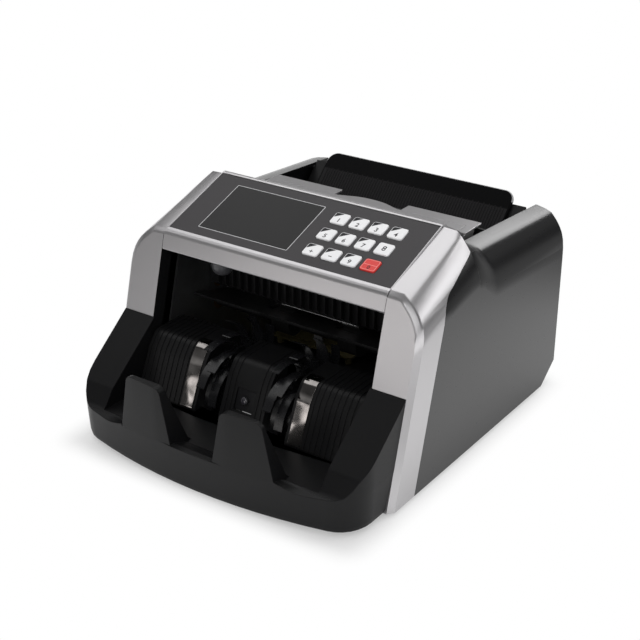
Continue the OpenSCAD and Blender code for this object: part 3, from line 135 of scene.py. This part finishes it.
# by the record's material slot
M = {
    "silver": material(
        "silver_paint", (0.52, 0.51, 0.52), 0.31, metallic=0.85, coat=0.15, coat_rough=0.3,
        mottle=0.03, mottle_scale=2500, rough_var=0.03, grain=0.05, grain_scale=3500),
    "cover_black": material(
        "cover_black", (0.0025, 0.0025, 0.003), 0.28, specular=0.62,
        mottle=0.1, mottle_scale=120, rough_var=0.015, grain=0.006, grain_scale=2500),
    "tray_black": material(
        "tray_black", (0.005, 0.005, 0.0055), 0.4, specular=0.22,
        mottle=0.1, mottle_scale=150, rough_var=0.04, grain=0.06, grain_scale=2200),
    "inner_black": material(
        "inner_black", (0.0065, 0.0065, 0.007), 0.4, specular=0.3,
        mottle=0.15, mottle_scale=90, rough_var=0.05, grain=0.08, grain_scale=1500),
    "rest_black": material(
        "rest_black", (0.0016, 0.0016, 0.002), 0.38, specular=0.08,
        mottle=0.12, mottle_scale=110, rough_var=0.05, grain=0.08, grain_scale=1500),
    "overlay_grey": material(
        "overlay_grey", (0.048, 0.0455, 0.048), 0.5, specular=0.25,
        mottle=0.03, mottle_scale=900, rough_var=0.03, grain=0.06, grain_scale=4000),
    "window_smoke": material(
        "window_smoke", (0.004, 0.0038, 0.0042), 0.2, specular=0.15,
        mottle=0.05, mottle_scale=60, rough_var=0.02, grain=0.01, grain_scale=600),
    "board_green": material(
        "board_green", (0.02, 0.11, 0.05), 0.45, mottle=0.15, mottle_scale=200, grain=0.1),
    "key_white": material(
        "key_white", (0.8, 0.8, 0.81), 0.42, specular=0.3,
        mottle=0.015, mottle_scale=300, rough_var=0.03, grain=0.04, grain_scale=2500),
    "key_red": material(
        "key_red", (0.66, 0.045, 0.04), 0.4, specular=0.3,
        mottle=0.06, mottle_scale=300, rough_var=0.03, grain=0.04, grain_scale=2500),
    "sheet_steel": material(
        "sheet_steel", (0.42, 0.43, 0.44), 0.38, metallic=1.0, streak=(1, 1, 8),
        mottle=0.06, mottle_scale=50, rough_var=0.06, grain=0.08, grain_scale=600),
    "shaft_steel": material(
        "shaft_steel", (0.6, 0.6, 0.61), 0.25, metallic=1.0, streak=(12, 1, 1),
        mottle=0.05, mottle_scale=60, rough_var=0.05, grain=0.05, grain_scale=900),
    "chrome_strip": material(
        "chrome_strip", (0.46, 0.435, 0.42), 0.1, metallic=1.0,
        mottle=0.5, mottle_scale=110, rough_var=0.04,
        grain=1.0, grain_scale=45, grain_depth=0.0016, grain_detail=0.6),
    "bronze": material(
        "bronze", (0.45, 0.3, 0.15), 0.4, metallic=1.0, mottle=0.1, mottle_scale=200, grain=0.1),
    "drum_aluminium": material(
        "drum_aluminium", (0.5, 0.5, 0.51), 0.32, metallic=1.0,
        mottle=0.05, mottle_scale=80, rough_var=0.05, grain=0.05),
    "rubber": material(
        "rubber", (0.008, 0.008, 0.008), 0.65, specular=0.3,
        mottle=0.2, grain=0.25, grain_scale=1600),
    "grip_rubber": material(
        "grip_rubber", (0.06, 0.022, 0.014), 0.6, specular=0.3,
        mottle=0.15, grain=0.2, grain_scale=1600),
    "fin_rubber": material(
        "fin_rubber", (0.007, 0.007, 0.008), 0.27, specular=0.6,
        mottle=0.15, rough_var=0.05, grain=0.06, grain_scale=1200),
    "sensor_black": material(
        "sensor_black", (0.009, 0.009, 0.01), 0.3, specular=0.4, mottle=0.1, grain=0.02),
    "lamp_grey": material(
        "lamp_grey", (0.055, 0.055, 0.06), 0.35, coat=0.3, mottle=0.06, grain=0.05),
    "motor_metal": material(
        "motor_metal", (0.2, 0.205, 0.21), 0.42, metallic=0.6, mottle=0.06, grain=0.08),
    "pulley_white": material(
        "pulley_white", (0.6, 0.58, 0.52), 0.45, mottle=0.05, grain=0.08),
    "supply": material(
        "supply", (0.1, 0.085, 0.035), 0.45, mottle=0.2, mottle_scale=200, grain=0.12),
    "inlet_black": material(
        "inlet_black", (0.007, 0.007, 0.008), 0.4, specular=0.3, mottle=0.1, grain=0.1),
    "pin_brass": material(
        "pin_brass", (0.55, 0.5, 0.35), 0.28, metallic=1.0, mottle=0.06, grain=0.03),
    "switch_red": material(
        "switch_red", (0.4, 0.02, 0.015), 0.25, coat=0.3, mottle=0.06, grain=0.03),
}
PRINT_WHITE = material("print_white", (0.62, 0.62, 0.63), 0.5, specular=0.2,
                       mottle=0.03, mottle_scale=900, grain=0.05)
PRINT_DARK = material("print_dark", (0.02, 0.02, 0.022), 0.5, specular=0.2,
                      mottle=0.08, mottle_scale=900, grain=0.05)
PRINT_PALE_RED = material("print_pale_red", (0.85, 0.3, 0.27), 0.45, specular=0.25,
                          mottle=0.05, mottle_scale=600, grain=0.05)
RIB_BLACK = material("rest_rib_black", (0.0088, 0.0083, 0.0092), 0.45, specular=0.2,
                     mottle=0.12, mottle_scale=110, rough_var=0.05, grain=0.08, grain_scale=1500)
# painted highlight: a paler grey for the note rest's rounded upper rim, standing in for the lamps'
# reflection there
REST_RIM_HIGHLIGHT = material("rest_rim_painted_highlight", (0.28, 0.28, 0.285), 0.35,
                     mottle=0.1, mottle_scale=200, rough_var=0.03, grain=0.05, grain_scale=1500)
LENS = material("sensor_lens", (0.03, 0.028, 0.035), 0.1, specular=0.9, coat=0.5,
                mottle=0.1, mottle_scale=400, grain=0.01)
SCREW = material("screw_zinc", (0.42, 0.42, 0.43), 0.32, metallic=1.0,
                 mottle=0.08, mottle_scale=300, grain=0.08)


# ---- mesh helpers --------------------------------------------------------------------------------
def show(name, mesh):
    o = bpy.data.objects.new(name, mesh)
    scene.collection.objects.link(o)
    return o


def dress(o, mat):
    o.data.materials.clear()
    o.data.materials.append(mat)


def apply_modifiers(o):
    dg = bpy.context.evaluated_depsgraph_get()
    mesh = bpy.data.meshes.new_from_object(o.evaluated_get(dg))
    o.modifiers.clear()
    o.data = mesh
    mesh.name = o.name


def smooth(o, angle=35, weighted=True):
    """Smooth shading, with edges over angle degrees left sharp."""
    for p in o.data.polygons:
        p.use_smooth = True
    o.data.set_sharp_from_angle(angle=math.radians(angle))
    if weighted:
        w = o.modifiers.new("even", "WEIGHTED_NORMAL")
        w.keep_sharp = True
        w.weight = 60
        apply_modifiers(o)


def bevel(o, width, segments=2, angle=35):
    """Round edges over angle degrees to a width in millimetres."""
    b = o.modifiers.new("edge", "BEVEL")
    b.width = width * MM
    b.segments = segments
    b.limit_method = "ANGLE"
    b.angle_limit = math.radians(angle)
    b.use_clamp_overlap = False
    b.miter_outer = "MITER_ARC"
    apply_modifiers(o)


# ---- solids that the scene shows with finer edges ------------------------------------------------
MERGE = 0.004  # millimetres between points that are one
FLAT = math.radians(0.4)  # faces that meet at less are one

# width of each solid's rounded edges in millimetres; 0 leaves its edges as they are
REFINED = {
    "control_hood": 0.12, "keypad_overlay": 0.12, "display_window": 0.1, "feed_gates": 0.25,
    "front_tray": 0.4, "stacker_apron": 0.0, "guide_strips": 0.1, "left_front_trim": 0.0,
    "right_front_trim": 0.0, "left_side_cover": 0.0, "right_side_cover": 0.0,
    "hopper_front_wall": 0.3, "hopper_bed": 0.3, "rear_cover": 0.2, "tray_sensor": 0.2,
    "bay_lamp": 0.2, "upper_guide": 0.2, "lower_guide": 0.5, "left_stacker_wheel": 0.0,
    "right_stacker_wheel": 0.0, "power_inlet": 0.25, "switch_frame": 0.25, "power_switch": 0.3,
    "gap_knob": 0.2, "rubber_feet": 0.0, "base_pan": 0.3, "exit_nip_rollers": 0.2,
    "exit_rollers": 0.2, "pickup_rollers": 0.15, "feed_tyres": 0.0, "feed_drum": 0.0,
}
REFINED.update({f"key_{row}_{col}": 0.25 for row in (1, 2, 3) for col in (1, 2, 3, 4)})


def refine(node, edge):
    """Closed copy of a node's solid, with joined points, rounded edges and smooth curves."""
    src = NODES[node]
    mesh = src.data.copy()
    bm = bmesh.new()
    bm.from_mesh(mesh)
    bmesh.ops.remove_doubles(bm, verts=bm.verts, dist=MERGE * MM)
    bmesh.ops.dissolve_limit(bm, angle_limit=FLAT, verts=bm.verts, edges=bm.edges)
    bm.to_mesh(mesh)
    bm.free()
    normals = mesh.attributes.get("custom_normal")
    if normals:
        mesh.attributes.remove(normals)
    o = show(node + "_skin", mesh)
    if edge:
        bevel(o, edge)
    smooth(o)
    dress(o, M[SLOT[node]])
    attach(o, src["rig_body"])
    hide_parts(node)


for name, width in REFINED.items():
    refine(name, width)
for name, node in NODES.items():
    dress(node, M[SLOT[name]])

JAMB_X = 96.5  # the faces of the trims along the bay are nearer the middle than this


def blacken_jamb(name, side):
    """Black on the face of a trim along the bay; side is +1 for the right trim."""
    o = bpy.data.objects[name + "_skin"]
    o.data.materials.append(M["inner_black"])
    for p in o.data.polygons:
        if p.normal.x * side < -0.9 and abs(p.center.x) < JAMB_X * MM:
            p.material_index = 1


blacken_jamb("right_front_trim", 1)
blacken_jamb("left_front_trim", -1)

# ---- building from given points ------------------------------------------------------------------
MACHINE = Matrix.Scale(MM, 4)  # from millimetres in the machine's frame to metres
SINK = 0.02  # how far a print or a rib reaches into the face that carries it


def panel_matrix(lift=0.0):
    """The overlay's own frame, in mm: x across, y up the slope, z out of its face."""
    return (Matrix.Translation((0, PANEL_Y * MM, PANEL_Z * MM)) @ Matrix.Rotation(TILT, 4, "X")
            @ Matrix.Translation((0, 0, lift * MM)) @ MACHINE)


def axis_matrix(at, axis):
    """A frame in mm whose origin is a point of the machine and whose z runs along an axis."""
    turn = Vector((0, 0, 1)).rotation_difference(Vector(axis)).to_matrix().to_4x4()
    return Matrix.Translation(Vector(at) * MM) @ turn @ MACHINE


def make(name, bm, place, mat, body="machine"):
    bmesh.ops.recalc_face_normals(bm, faces=bm.faces)
    mesh = bpy.data.meshes.new(name)
    bm.to_mesh(mesh)
    bm.free()
    mesh.transform(place)
    o = show(name, mesh)
    dress(o, mat)
    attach(o, body)
    return o


def arc(cx, cy, r, start, end, steps):
    """Points on an arc, with the angles in degrees."""
    angles = (math.radians(start + (end - start) * i / steps) for i in range(steps + 1))
    return [(cx + r * math.cos(a), cy + r * math.sin(a)) for a in angles]


def circle(r, n):
    angles = (2 * math.pi * i / n for i in range(n))
    return [(r * math.cos(a), r * math.sin(a)) for a in angles]


def rounded_box(w, l, r, steps=3):
    """Outline of a rectangle about the origin with rounded corners."""
    x, y = w / 2 - r, l / 2 - r
    return (arc(x, y, r, 0, 90, steps) + arc(-x, y, r, 90, 180, steps)
            + arc(-x, -y, r, 180, 270, steps) + arc(x, -y, r, 270, 360, steps))


def band(bm, a, b):
    """Faces between two loops of as many vertices."""
    n = len(a)
    for i in range(n):
        bm.faces.new((a[i], a[(i + 1) % n], b[(i + 1) % n], b[i]))


def loft(bm, *rings):
    """Closed solid over rings of as many points, with a flat end on the first and the last."""
    loops = [[bm.verts.new(p) for p in ring] for ring in rings]
    bm.faces.new(loops[0][::-1])
    bm.faces.new(loops[-1])
    for a, b in zip(loops, loops[1:]):
        band(bm, a, b)


def prism(bm, outline, z0, z1):
    """Closed prism over an outline, from z0 to z1."""
    loft(bm, *([(x, y, z) for x, y in outline] for z in (z0, z1)))


def bar(bm, profile, x0, x1):
    """Closed bar along x, whose section is a list of (y, z)."""
    loft(bm, *([(x, y, z) for y, z in profile] for x in (x0, x1)))


def ring_prism(bm, outer, inner, z0, z1):
    """Closed frame between two outlines of as many points."""
    loops = [[bm.verts.new((x, y, z)) for x, y in outline]
             for outline, z in ((outer, z0), (outer, z1), (inner, z1), (inner, z0))]
    for k in range(4):
        band(bm, loops[k], loops[(k + 1) % 4])


# ---- note rest: a smooth band along the top, fine ribs below -------------------------------------
REST_TOP = (0.0, THROAT_Y + REST_L * math.cos(REST_SLOPE), THROAT_Z + REST_L * math.sin(REST_SLOPE))
REST_PLACE = (Matrix.Translation(Vector(REST_TOP) * MM) @ Matrix.Rotation(REST_SLOPE, 4, "X")
              @ MACHINE)
RIM_R = 1.35  # rounding of the plate's edges
RIM_HIGHLIGHT_REACH = 12.0  # painted highlight: how far the paler rim reaches down from the plate's top edge
RIB_PITCH, RIB_W, RIB_RISE = 2.4, 1.1, 0.55
RIB_TOP, RIB_STEP = -14.5, 1.6  # the ribs' upper ends, and how much lower every other one ends
RIB_FOOT = 1.5  # the ribs start this far above the plate's foot
GROUND_TOP, GROUND_RISE = -15.3, 0.06


def note_rest_plate():
    half = REST_W / 2
    outline = ([(-half, -REST_L), (half, -REST_L)]
               + arc(half - REST_R, -REST_R, REST_R, 0, 90, 12)
               + arc(REST_R - half, -REST_R, REST_R, 90, 180, 12))
    bm = bmesh.new()
    prism(bm, outline, -REST_T, 0)
    plate = make("note_rest_plate", bm, REST_PLACE, M["rest_black"])
    bevel(plate, RIM_R, 4, 50)
    smooth(plate, 40)
    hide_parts("note_rest")
    # painted highlight: the upper rim is paler, standing in for the lamps behind reflecting off its
    # rounded edge
    plate.data.materials.append(REST_RIM_HIGHLIGHT)
    back = REST_PLACE.to_quaternion().inverted()
    for p in plate.data.polygons:
        n = back @ p.normal
        if 0.1 < n.z < 0.96 and p.center.z > (REST_TOP[2] - RIM_HIGHLIGHT_REACH) * MM:
            p.material_index = 1


def note_rest_ribs():
    half = RIB_W / 2
    section = [(-half, -SINK), (half, -SINK), (half - 0.2, RIB_RISE - 0.15), (half - 0.4, RIB_RISE),
               (0.4 - half, RIB_RISE), (0.2 - half, RIB_RISE - 0.15)]
    bm = bmesh.new()
    count = int((REST_W - REST_R) / RIB_PITCH)
    for i in range(count + 1):
        x = (i - count / 2) * RIB_PITCH
        top = RIB_TOP - (RIB_STEP if i % 2 else 0.0)
        loft(bm, *([(x + u, y, v) for u, v in section] for y in (RIB_FOOT - REST_L, top)))
    ribs = make("note_rest_ribs", bm, REST_PLACE, RIB_BLACK)
    smooth(ribs, 40, weighted=False)


def note_rest_ground():
    """The ground between the ribs, as matt as they are."""
    half, foot = REST_W / 2 - 1.5, 1.2 - REST_L
    bm = bmesh.new()
    prism(bm, [(-half, foot), (half, foot), (half, GROUND_TOP), (-half, GROUND_TOP)],
          -SINK, GROUND_RISE)
    make("note_rest_ground", bm, REST_PLACE, RIB_BLACK)


note_rest_plate()
note_rest_ribs()
note_rest_ground()

# ---- control panel: printed line round the window, marks on the keys -----------------------------
WINDOW_X0, WINDOW_X1 = -73.0, 5.3  # outside of the printed line
WINDOW_S0, WINDOW_S1 = 7.8, 58.4
LINE_W, LINE_RISE = 0.42, 0.03
INK = 0.02  # the keys' prints stand this far out
KEY_RIM = 0.7  # from a key's edge to its print
KEY_MARKS = ("1234", "5678", "+\N{MINUS SIGN}90")
MARK_SIZE, MARK_Y = 5.4, -2.3
RED_KEY, RED_SIZE, RED_Y = (2, 3), 4.4, -2.6  # row and column, size of its mark and place of it
BARE_KEY, BARE_SIZE, BARE_Y = (1, 3), 6.4, 0  # the key with no dark corner
CORNER_R = 1.2


def window_line():
    w, l = WINDOW_X1 - WINDOW_X0, WINDOW_S1 - WINDOW_S0
    middle = Matrix.Translation(((WINDOW_X0 + WINDOW_X1) / 2, (WINDOW_S0 + WINDOW_S1) / 2, 0))
    bm = bmesh.new()
    ring_prism(bm, rounded_box(w, l, 0.7), rounded_box(w - 2 * LINE_W, l - 2 * LINE_W, 0.3),
               -SINK, LINE_RISE)
    make("window_line", bm, panel_matrix() @ middle, PRINT_WHITE)


def mark(name, text, size, y, place, body):
    """A printed figure or sign, as a thin solid."""
    curve = bpy.data.curves.new(name, "FONT")
    curve.body = text
    curve.size = size
    curve.align_x = "CENTER"
    curve.align_y = "CENTER"
    curve.extrude = 0.015
    curve.offset = 0.09
    o = show(name, curve)
    bpy.context.view_layer.update()
    mesh = bpy.data.meshes.new_from_object(o.evaluated_get(bpy.context.evaluated_depsgraph_get()))
    bpy.data.objects.remove(o)
    bm = bmesh.new()
    bm.from_mesh(mesh)
    make(name, bm, place @ Matrix.Translation((0, y, INK)), PRINT_DARK, body=body)


def red_key_line(bm, w, l):
    """Frame round the red key's face, and a line across its middle."""
    x, y = w / 2 - 0.3, 0.2
    ring_prism(bm, rounded_box(w, l, CORNER_R, 6), rounded_box(w - 0.7, l - 0.7, 0.9, 6),
               -SINK, INK)
    prism(bm, [(-x, -y), (x, -y), (x, y), (-x, y)], -SINK, INK)


def key_corner(bm, w, l):
    """Dark triangle in a key's upper left corner."""
    corner = arc(CORNER_R - w / 2, l / 2 - CORNER_R, CORNER_R, 180, 90, 5)
    prism(bm, [(-w / 2, 0.1), *corner, (0.9, l / 2)], -SINK, INK)


def key_prints():
    w, l = KEY_W - 2 * KEY_RIM, KEY_L - 2 * KEY_RIM
    for row, texts in enumerate(KEY_MARKS):
        for col, text in enumerate(texts):
            node = f"key_{row + 1}_{col + 1}"
            body, slot = NODES[node]["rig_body"], SLOT[node]
            at = (KEY_X0 + col * KEY_DX, KEY_S0 + (2 - row) * KEY_DY, 0)
            place = panel_matrix(KEY_RISE) @ Matrix.Translation(at)
            size, y = MARK_SIZE, MARK_Y
            if (row, col) == RED_KEY:
                size, y = RED_SIZE, RED_Y
                bm = bmesh.new()
                red_key_line(bm, w, l)
                make(node + "_line", bm, place, PRINT_PALE_RED, body=body)
            elif (row, col) == BARE_KEY:
                size, y = BARE_SIZE, BARE_Y
            else:
                bm = bmesh.new()
                key_corner(bm, w, l)
                make(node + "_corner", bm, place, PRINT_DARK, body=body)
            mark(node + "_mark", text, size, y, place, body)


window_line()
key_prints()


# ---- small trim pieces ---------------------------------------------------------------------------
def seam_strip(name, side):
    """Silver strip low in the seam between the hood and a trim, along the panel."""
    bm = bmesh.new()
    section = [(0.6, -1.6), (66.0, -1.6), (66.4, -0.9), (66.0, -0.16), (0.6, -0.16), (0.2, -0.6)]
    bar(bm, section, *sorted((side * 94.6, side * 95.1)))
    make(name, bm, panel_matrix(), M["silver"])


def slot_end(name, side):
    """Dark wall that closes the front end of the slot beside the deck."""
    bm = bmesh.new()
    section = [(13.9, 144.0), (14.5, 144.0), (14.5, 163.4), (14.2, 163.7), (13.9, 163.8)]
    bar(bm, section, *sorted((side * 91.15, side * 94.65)))
    make(name, bm, MACHINE, M["inner_black"])


def guide_lip():
    """Polished rod with rounded ends, flattened from above, along the upper guide's front edge."""
    x0, x1, y, z, r, squash = -27, 39, -9.6, 84.5, 0.9, 0.66
    ends = ((0, 0.35), (0.3 * r, 0.8), (r, 1))  # distance from the tip, share of the radius
    stations = [(x0 + d, q) for d, q in ends] + [(x1 - d, q) for d, q in reversed(ends)]
    bm = bmesh.new()
    loft(bm, *([(x, y + u, z + squash * v) for u, v in circle(r * q, 20)] for x, q in stations))
    o = make("guide_lip", bm, MACHINE, M["shaft_steel"])
    smooth(o, 50)


def sensor_lens():
    """Shallow round lens on the tray sensor's face."""
    r, rise, steps = 2.7, 0.9, 6
    angles = [math.radians(88 * k / steps) for k in range(steps + 1)]
    profile = [(r, -0.05)] + [(r * math.cos(a), rise * math.sin(a)) for a in angles]
    bm = bmesh.new()
    loft(bm, *([(x, y, z) for x, y in circle(q, 28)] for q, z in profile))
    axis = (0, -math.cos(SENSOR_SLOPE), math.sin(SENSOR_SLOPE))
    o = make("tray_sensor_lens", bm, axis_matrix(SENSOR, axis), LENS)
    smooth(o, 60)


def rear_screw(name, x, z):
    """A pan head with a cross recess, standing 1.1 mm out of the rear cover."""
    r = 2.6
    profile = ((r, 0.0), (r, 0.45), (r * 0.9, 0.8), (r * 0.62, 1.04), (r * 0.3, 1.1))
    bm = bmesh.new()
    loft(bm, *([(u, v, w) for u, v in circle(q, 24)] for q, w in profile))
    place = axis_matrix((x, REAR_FACE, z), (0, 1, 0))
    o = make(name, bm, place, SCREW)
    blade = [(-1.5, -0.28), (1.5, -0.28), (1.5, 0.28), (-1.5, 0.28)]
    cut = bmesh.new()
    for a in (0.3, 0.3 + math.pi / 2):
        c, s = math.cos(a), math.sin(a)
        prism(cut, [(u * c - v * s, u * s + v * c) for u, v in blade], 0.45, 1.5)
    mesh = bpy.data.meshes.new(name + "_cut")
    cut.to_mesh(mesh)
    cut.free()
    mesh.transform(place)
    tool = show(name + "_cut", mesh)
    m = o.modifiers.new("cross", "BOOLEAN")
    m.operation = "DIFFERENCE"
    m.solver = "EXACT"
    m.use_self = True
    m.object = tool
    apply_modifiers(o)
    bpy.data.objects.remove(tool)
    smooth(o, 40)


for side, word in ((-1, "left"), (1, "right")):
    seam_strip(f"{word}_trim_seam", side)
    slot_end(f"{word}_slot_end", side)
sensor_lens()
guide_lip()
for i, (x, z) in enumerate(((-88, 122), (88, 122), (-88, 30), (88, 30), (0, 30))):
    rear_screw(f"rear_screw_{i + 1}", x, z)

# ---- stage, in metres ----------------------------------------------------------------------------
FLOOR = 12.0  # half its width
FOOTPRINT = (0.115, 0.135, 0)  # half sides of the rectangle over the feet
# on the floor: two distances from the footprint, and the share of white at each
SHADOW_REACH, SHADOW_GLOW = (0.0, 0.026), (0.35, 1.0)  # as the camera sees it
GLOSS_REACH, GLOSS_GLOW = (0.0, 0.07), (0.2, 1.0)  # as gloss sees it
GLOSS_FADE, GLOSS_FAR = (0.12, 0.3), (1.05, 0.36)  # gloss sees it darker further out
FILL = 0.56  # the studio for matt surfaces
# the studio for gloss, from straight down (0) past the horizon (0.5) to straight up (1)
SKY = [(0.0, 0.6), (0.49, 0.28), (0.52, 0.13), (0.56, 0.03), (0.6, 0.04), (0.65, 0.24),
       (0.71, 0.24), (0.8, 0.04), (1.0, 0.1)]
# name, place, point that it faces, width, height, radiance and tint
LAMPS = [
    ("back_box", (-0.095, 1.09, 0.74), (0.1, 0.06, 0.144), 0.46, 0.5, 4.3, (1, 1, 1)),
    ("low_back_box", (-0.62, 0.6, 0.145), (-0.08, 0.08, 0.14), 0.62, 0.27, 1.05, (1, 1, 1)),
    ("top_box", (-0.31, 0.52, 1.3), (-0.31, 0.52, 0), 1.78, 0.75, 1.65, (1, 1, 1)),
    ("left_box", (-0.88, -0.34, 1.25), (-0.5, -0.2, 0), 0.7, 0.85, 0.8, (1, 1, 1)),
    ("side_box", (0.92, 0.62, 0.72), (0.12, -0.03, 0.14), 0.5, 0.5, 2.3, (1, 1, 1)),
    ("front_box", (-0.43, -1.24, 0.15), (0, -0.07, 0.12), 0.72, 0.26, 1.4, (1, 0.97, 0.955)),
    ("near_box", (0.97, -0.64, 0.21), (0.12, -0.07, 0.15), 0.5, 0.4, 1.8, (1, 1, 1)),
    ("behind_box", (0.62, -1.4, 1.2), (0.1, -0.07, 0.14), 1.4, 1.1, 1.3, (1, 1, 1)),
]
CAMERA_AT = (0.501222, -0.713452, 0.493853)
CAMERA_AIM = (-0.5176, 0.7377, -0.4334)
CAMERA_LENS = 73.98  # millimetres, on a sensor 36 mm wide


def node_math(nt, op, a, b):
    n = nt.nodes.new("ShaderNodeMath")
    n.operation = op
    nt.links.new(a, n.inputs[0])
    nt.links.new(b, n.inputs[1])
    return n.outputs["Value"]


def vector_math(nt, op, vector, second=None, output="Vector"):
    n = nt.nodes.new("ShaderNodeVectorMath")
    n.operation = op
    nt.links.new(vector, n.inputs[0])
    if second:
        n.inputs[1].default_value = second
    return n.outputs[output]


def node_range(nt, value, reach, result):
    """Smooth step from one result to another as the value runs over its reach."""
    n = nt.nodes.new("ShaderNodeMapRange")
    n.interpolation_type = "SMOOTHSTEP"
    for key, v in zip(("From Min", "From Max", "To Min", "To Max"), (*reach, *result)):
        n.inputs[key].default_value = v
    nt.links.new(value, n.inputs["Value"])
    return n.outputs["Result"]


def mix(nt, share, a, b):
    """Shader a at a share of 0, shader b at a share of 1."""
    n = nt.nodes.new("ShaderNodeMixShader")
    for socket, value in zip(n.inputs, (share, a, b)):
        nt.links.new(value, socket)
    return n.outputs["Shader"]


def stage_floor():
    """White floor: it glows white for the camera and for gloss, except close round the object,
    where its shadow lies."""
    s = FLOOR
    mesh = bpy.data.meshes.new("floor")
    mesh.from_pydata([(-s, -s, 0), (s, -s, 0), (s, s, 0), (-s, s, 0)], [], [(0, 1, 2, 3)])
    o = show("floor", mesh)
    m = bpy.data.materials.new("floor_white")
    m.use_nodes = True
    nt = m.node_tree
    bsdf = nt.nodes["Principled BSDF"]
    bsdf.inputs["Base Color"].default_value = (0.93, 0.93, 0.93, 1)
    bsdf.inputs["Roughness"].default_value = 0.6
    bsdf.inputs["Specular IOR Level"].default_value = 0.1
    coords = nt.nodes.new("ShaderNodeTexCoord")
    away = vector_math(nt, "ABSOLUTE", coords.outputs["Object"])
    past = vector_math(nt, "SUBTRACT", away, FOOTPRINT)
    outside = vector_math(nt, "MAXIMUM", past, (0, 0, 0))
    distance = vector_math(nt, "LENGTH", outside, output="Value")
    path = nt.nodes.new("ShaderNodeLightPath")
    camera_ray, glossy_ray = path.outputs["Is Camera Ray"], path.outputs["Is Glossy Ray"]
    for_camera = node_math(nt, "MULTIPLY", node_range(nt, distance, SHADOW_REACH, SHADOW_GLOW),
                           camera_ray)
    for_gloss = node_math(nt, "MULTIPLY", node_range(nt, distance, GLOSS_REACH, GLOSS_GLOW),
                          glossy_ray)
    glow = nt.nodes.new("ShaderNodeEmission")
    nt.links.new(node_range(nt, distance, GLOSS_FADE, GLOSS_FAR), glow.inputs["Strength"])
    white = nt.nodes.new("ShaderNodeEmission")
    white.inputs["Strength"].default_value = 1.0
    lit = mix(nt, camera_ray, glow.outputs["Emission"], white.outputs["Emission"])
    surface = mix(nt, node_math(nt, "MAXIMUM", for_camera, for_gloss), bsdf.outputs["BSDF"], lit)
    nt.links.new(surface, nt.nodes["Material Output"].inputs["Surface"])
    dress(o, m)


def stage_world():
    """White behind the object, an even fill for matt surfaces, and a banded studio for gloss."""
    w = bpy.data.worlds.new("studio")
    scene.world = w
    w.use_nodes = True
    nt = w.node_tree
    nt.nodes.clear()
    out = nt.nodes.new("ShaderNodeOutputWorld")

    def backdrop(strength):
        b = nt.nodes.new("ShaderNodeBackground")
        b.inputs["Color"].default_value = (1, 1, 1, 1)
        b.inputs["Strength"].default_value = strength
        return b

    fill, white, sky = backdrop(FILL), backdrop(1.0), backdrop(1.0)
    coords = nt.nodes.new("ShaderNodeTexCoord")
    split = nt.nodes.new("ShaderNodeSeparateXYZ")
    nt.links.new(coords.outputs["Generated"], split.inputs["Vector"])
    ramp = nt.nodes.new("ShaderNodeValToRGB")
    stops = ramp.color_ramp.elements
    stops[0].position, stops[1].position = SKY[0][0], SKY[-1][0]
    for position, _ in SKY[1:-1]:
        stops.new(position)
    for stop, (_, v) in zip(stops, SKY):
        stop.color = (v, v, v, 1)
    height = nt.nodes.new("ShaderNodeMapRange")
    height.inputs["From Min"].default_value = -1
    nt.links.new(split.outputs["Z"], height.inputs["Value"])
    nt.links.new(height.outputs["Result"], ramp.inputs["Fac"])
    nt.links.new(ramp.outputs["Color"], sky.inputs["Color"])
    path = nt.nodes.new("ShaderNodeLightPath")
    studio = mix(nt, path.outputs["Is Glossy Ray"], fill.outputs["Background"],
                 sky.outputs["Background"])
    straight = node_math(nt, "MAXIMUM", path.outputs["Is Camera Ray"],
                         path.outputs["Is Transmission Ray"])
    nt.links.new(mix(nt, straight, studio, white.outputs["Background"]), out.inputs["Surface"])


def lamp(name, at, look, width, height, radiance, tint):
    """Soft box whose face has the given radiance."""
    data = bpy.data.lights.new(name, "AREA")
    data.shape = "RECTANGLE"
    data.size = width
    data.size_y = height
    data.energy = radiance * math.pi * width * height
    data.color = tint
    o = show(name, data)
    o.location = at
    o.visible_camera = False
    o.rotation_mode = "QUATERNION"
    o.rotation_quaternion = (Vector(look) - Vector(at)).to_track_quat("-Z", "Y")


def camera():
    data = bpy.data.cameras.new("camera")
    data.lens = CAMERA_LENS
    data.sensor_width = 36.0
    data.sensor_fit = "HORIZONTAL"
    data.clip_start, data.clip_end = 0.05, 50
    o = show("camera", data)
    o.location = CAMERA_AT
    o.rotation_mode = "QUATERNION"
    o.rotation_quaternion = Vector(CAMERA_AIM).to_track_quat("-Z", "Y")
    scene.camera = o


stage_floor()
stage_world()
for row in LAMPS:
    lamp(*row)
camera()
scene.view_settings.view_transform = "Standard"
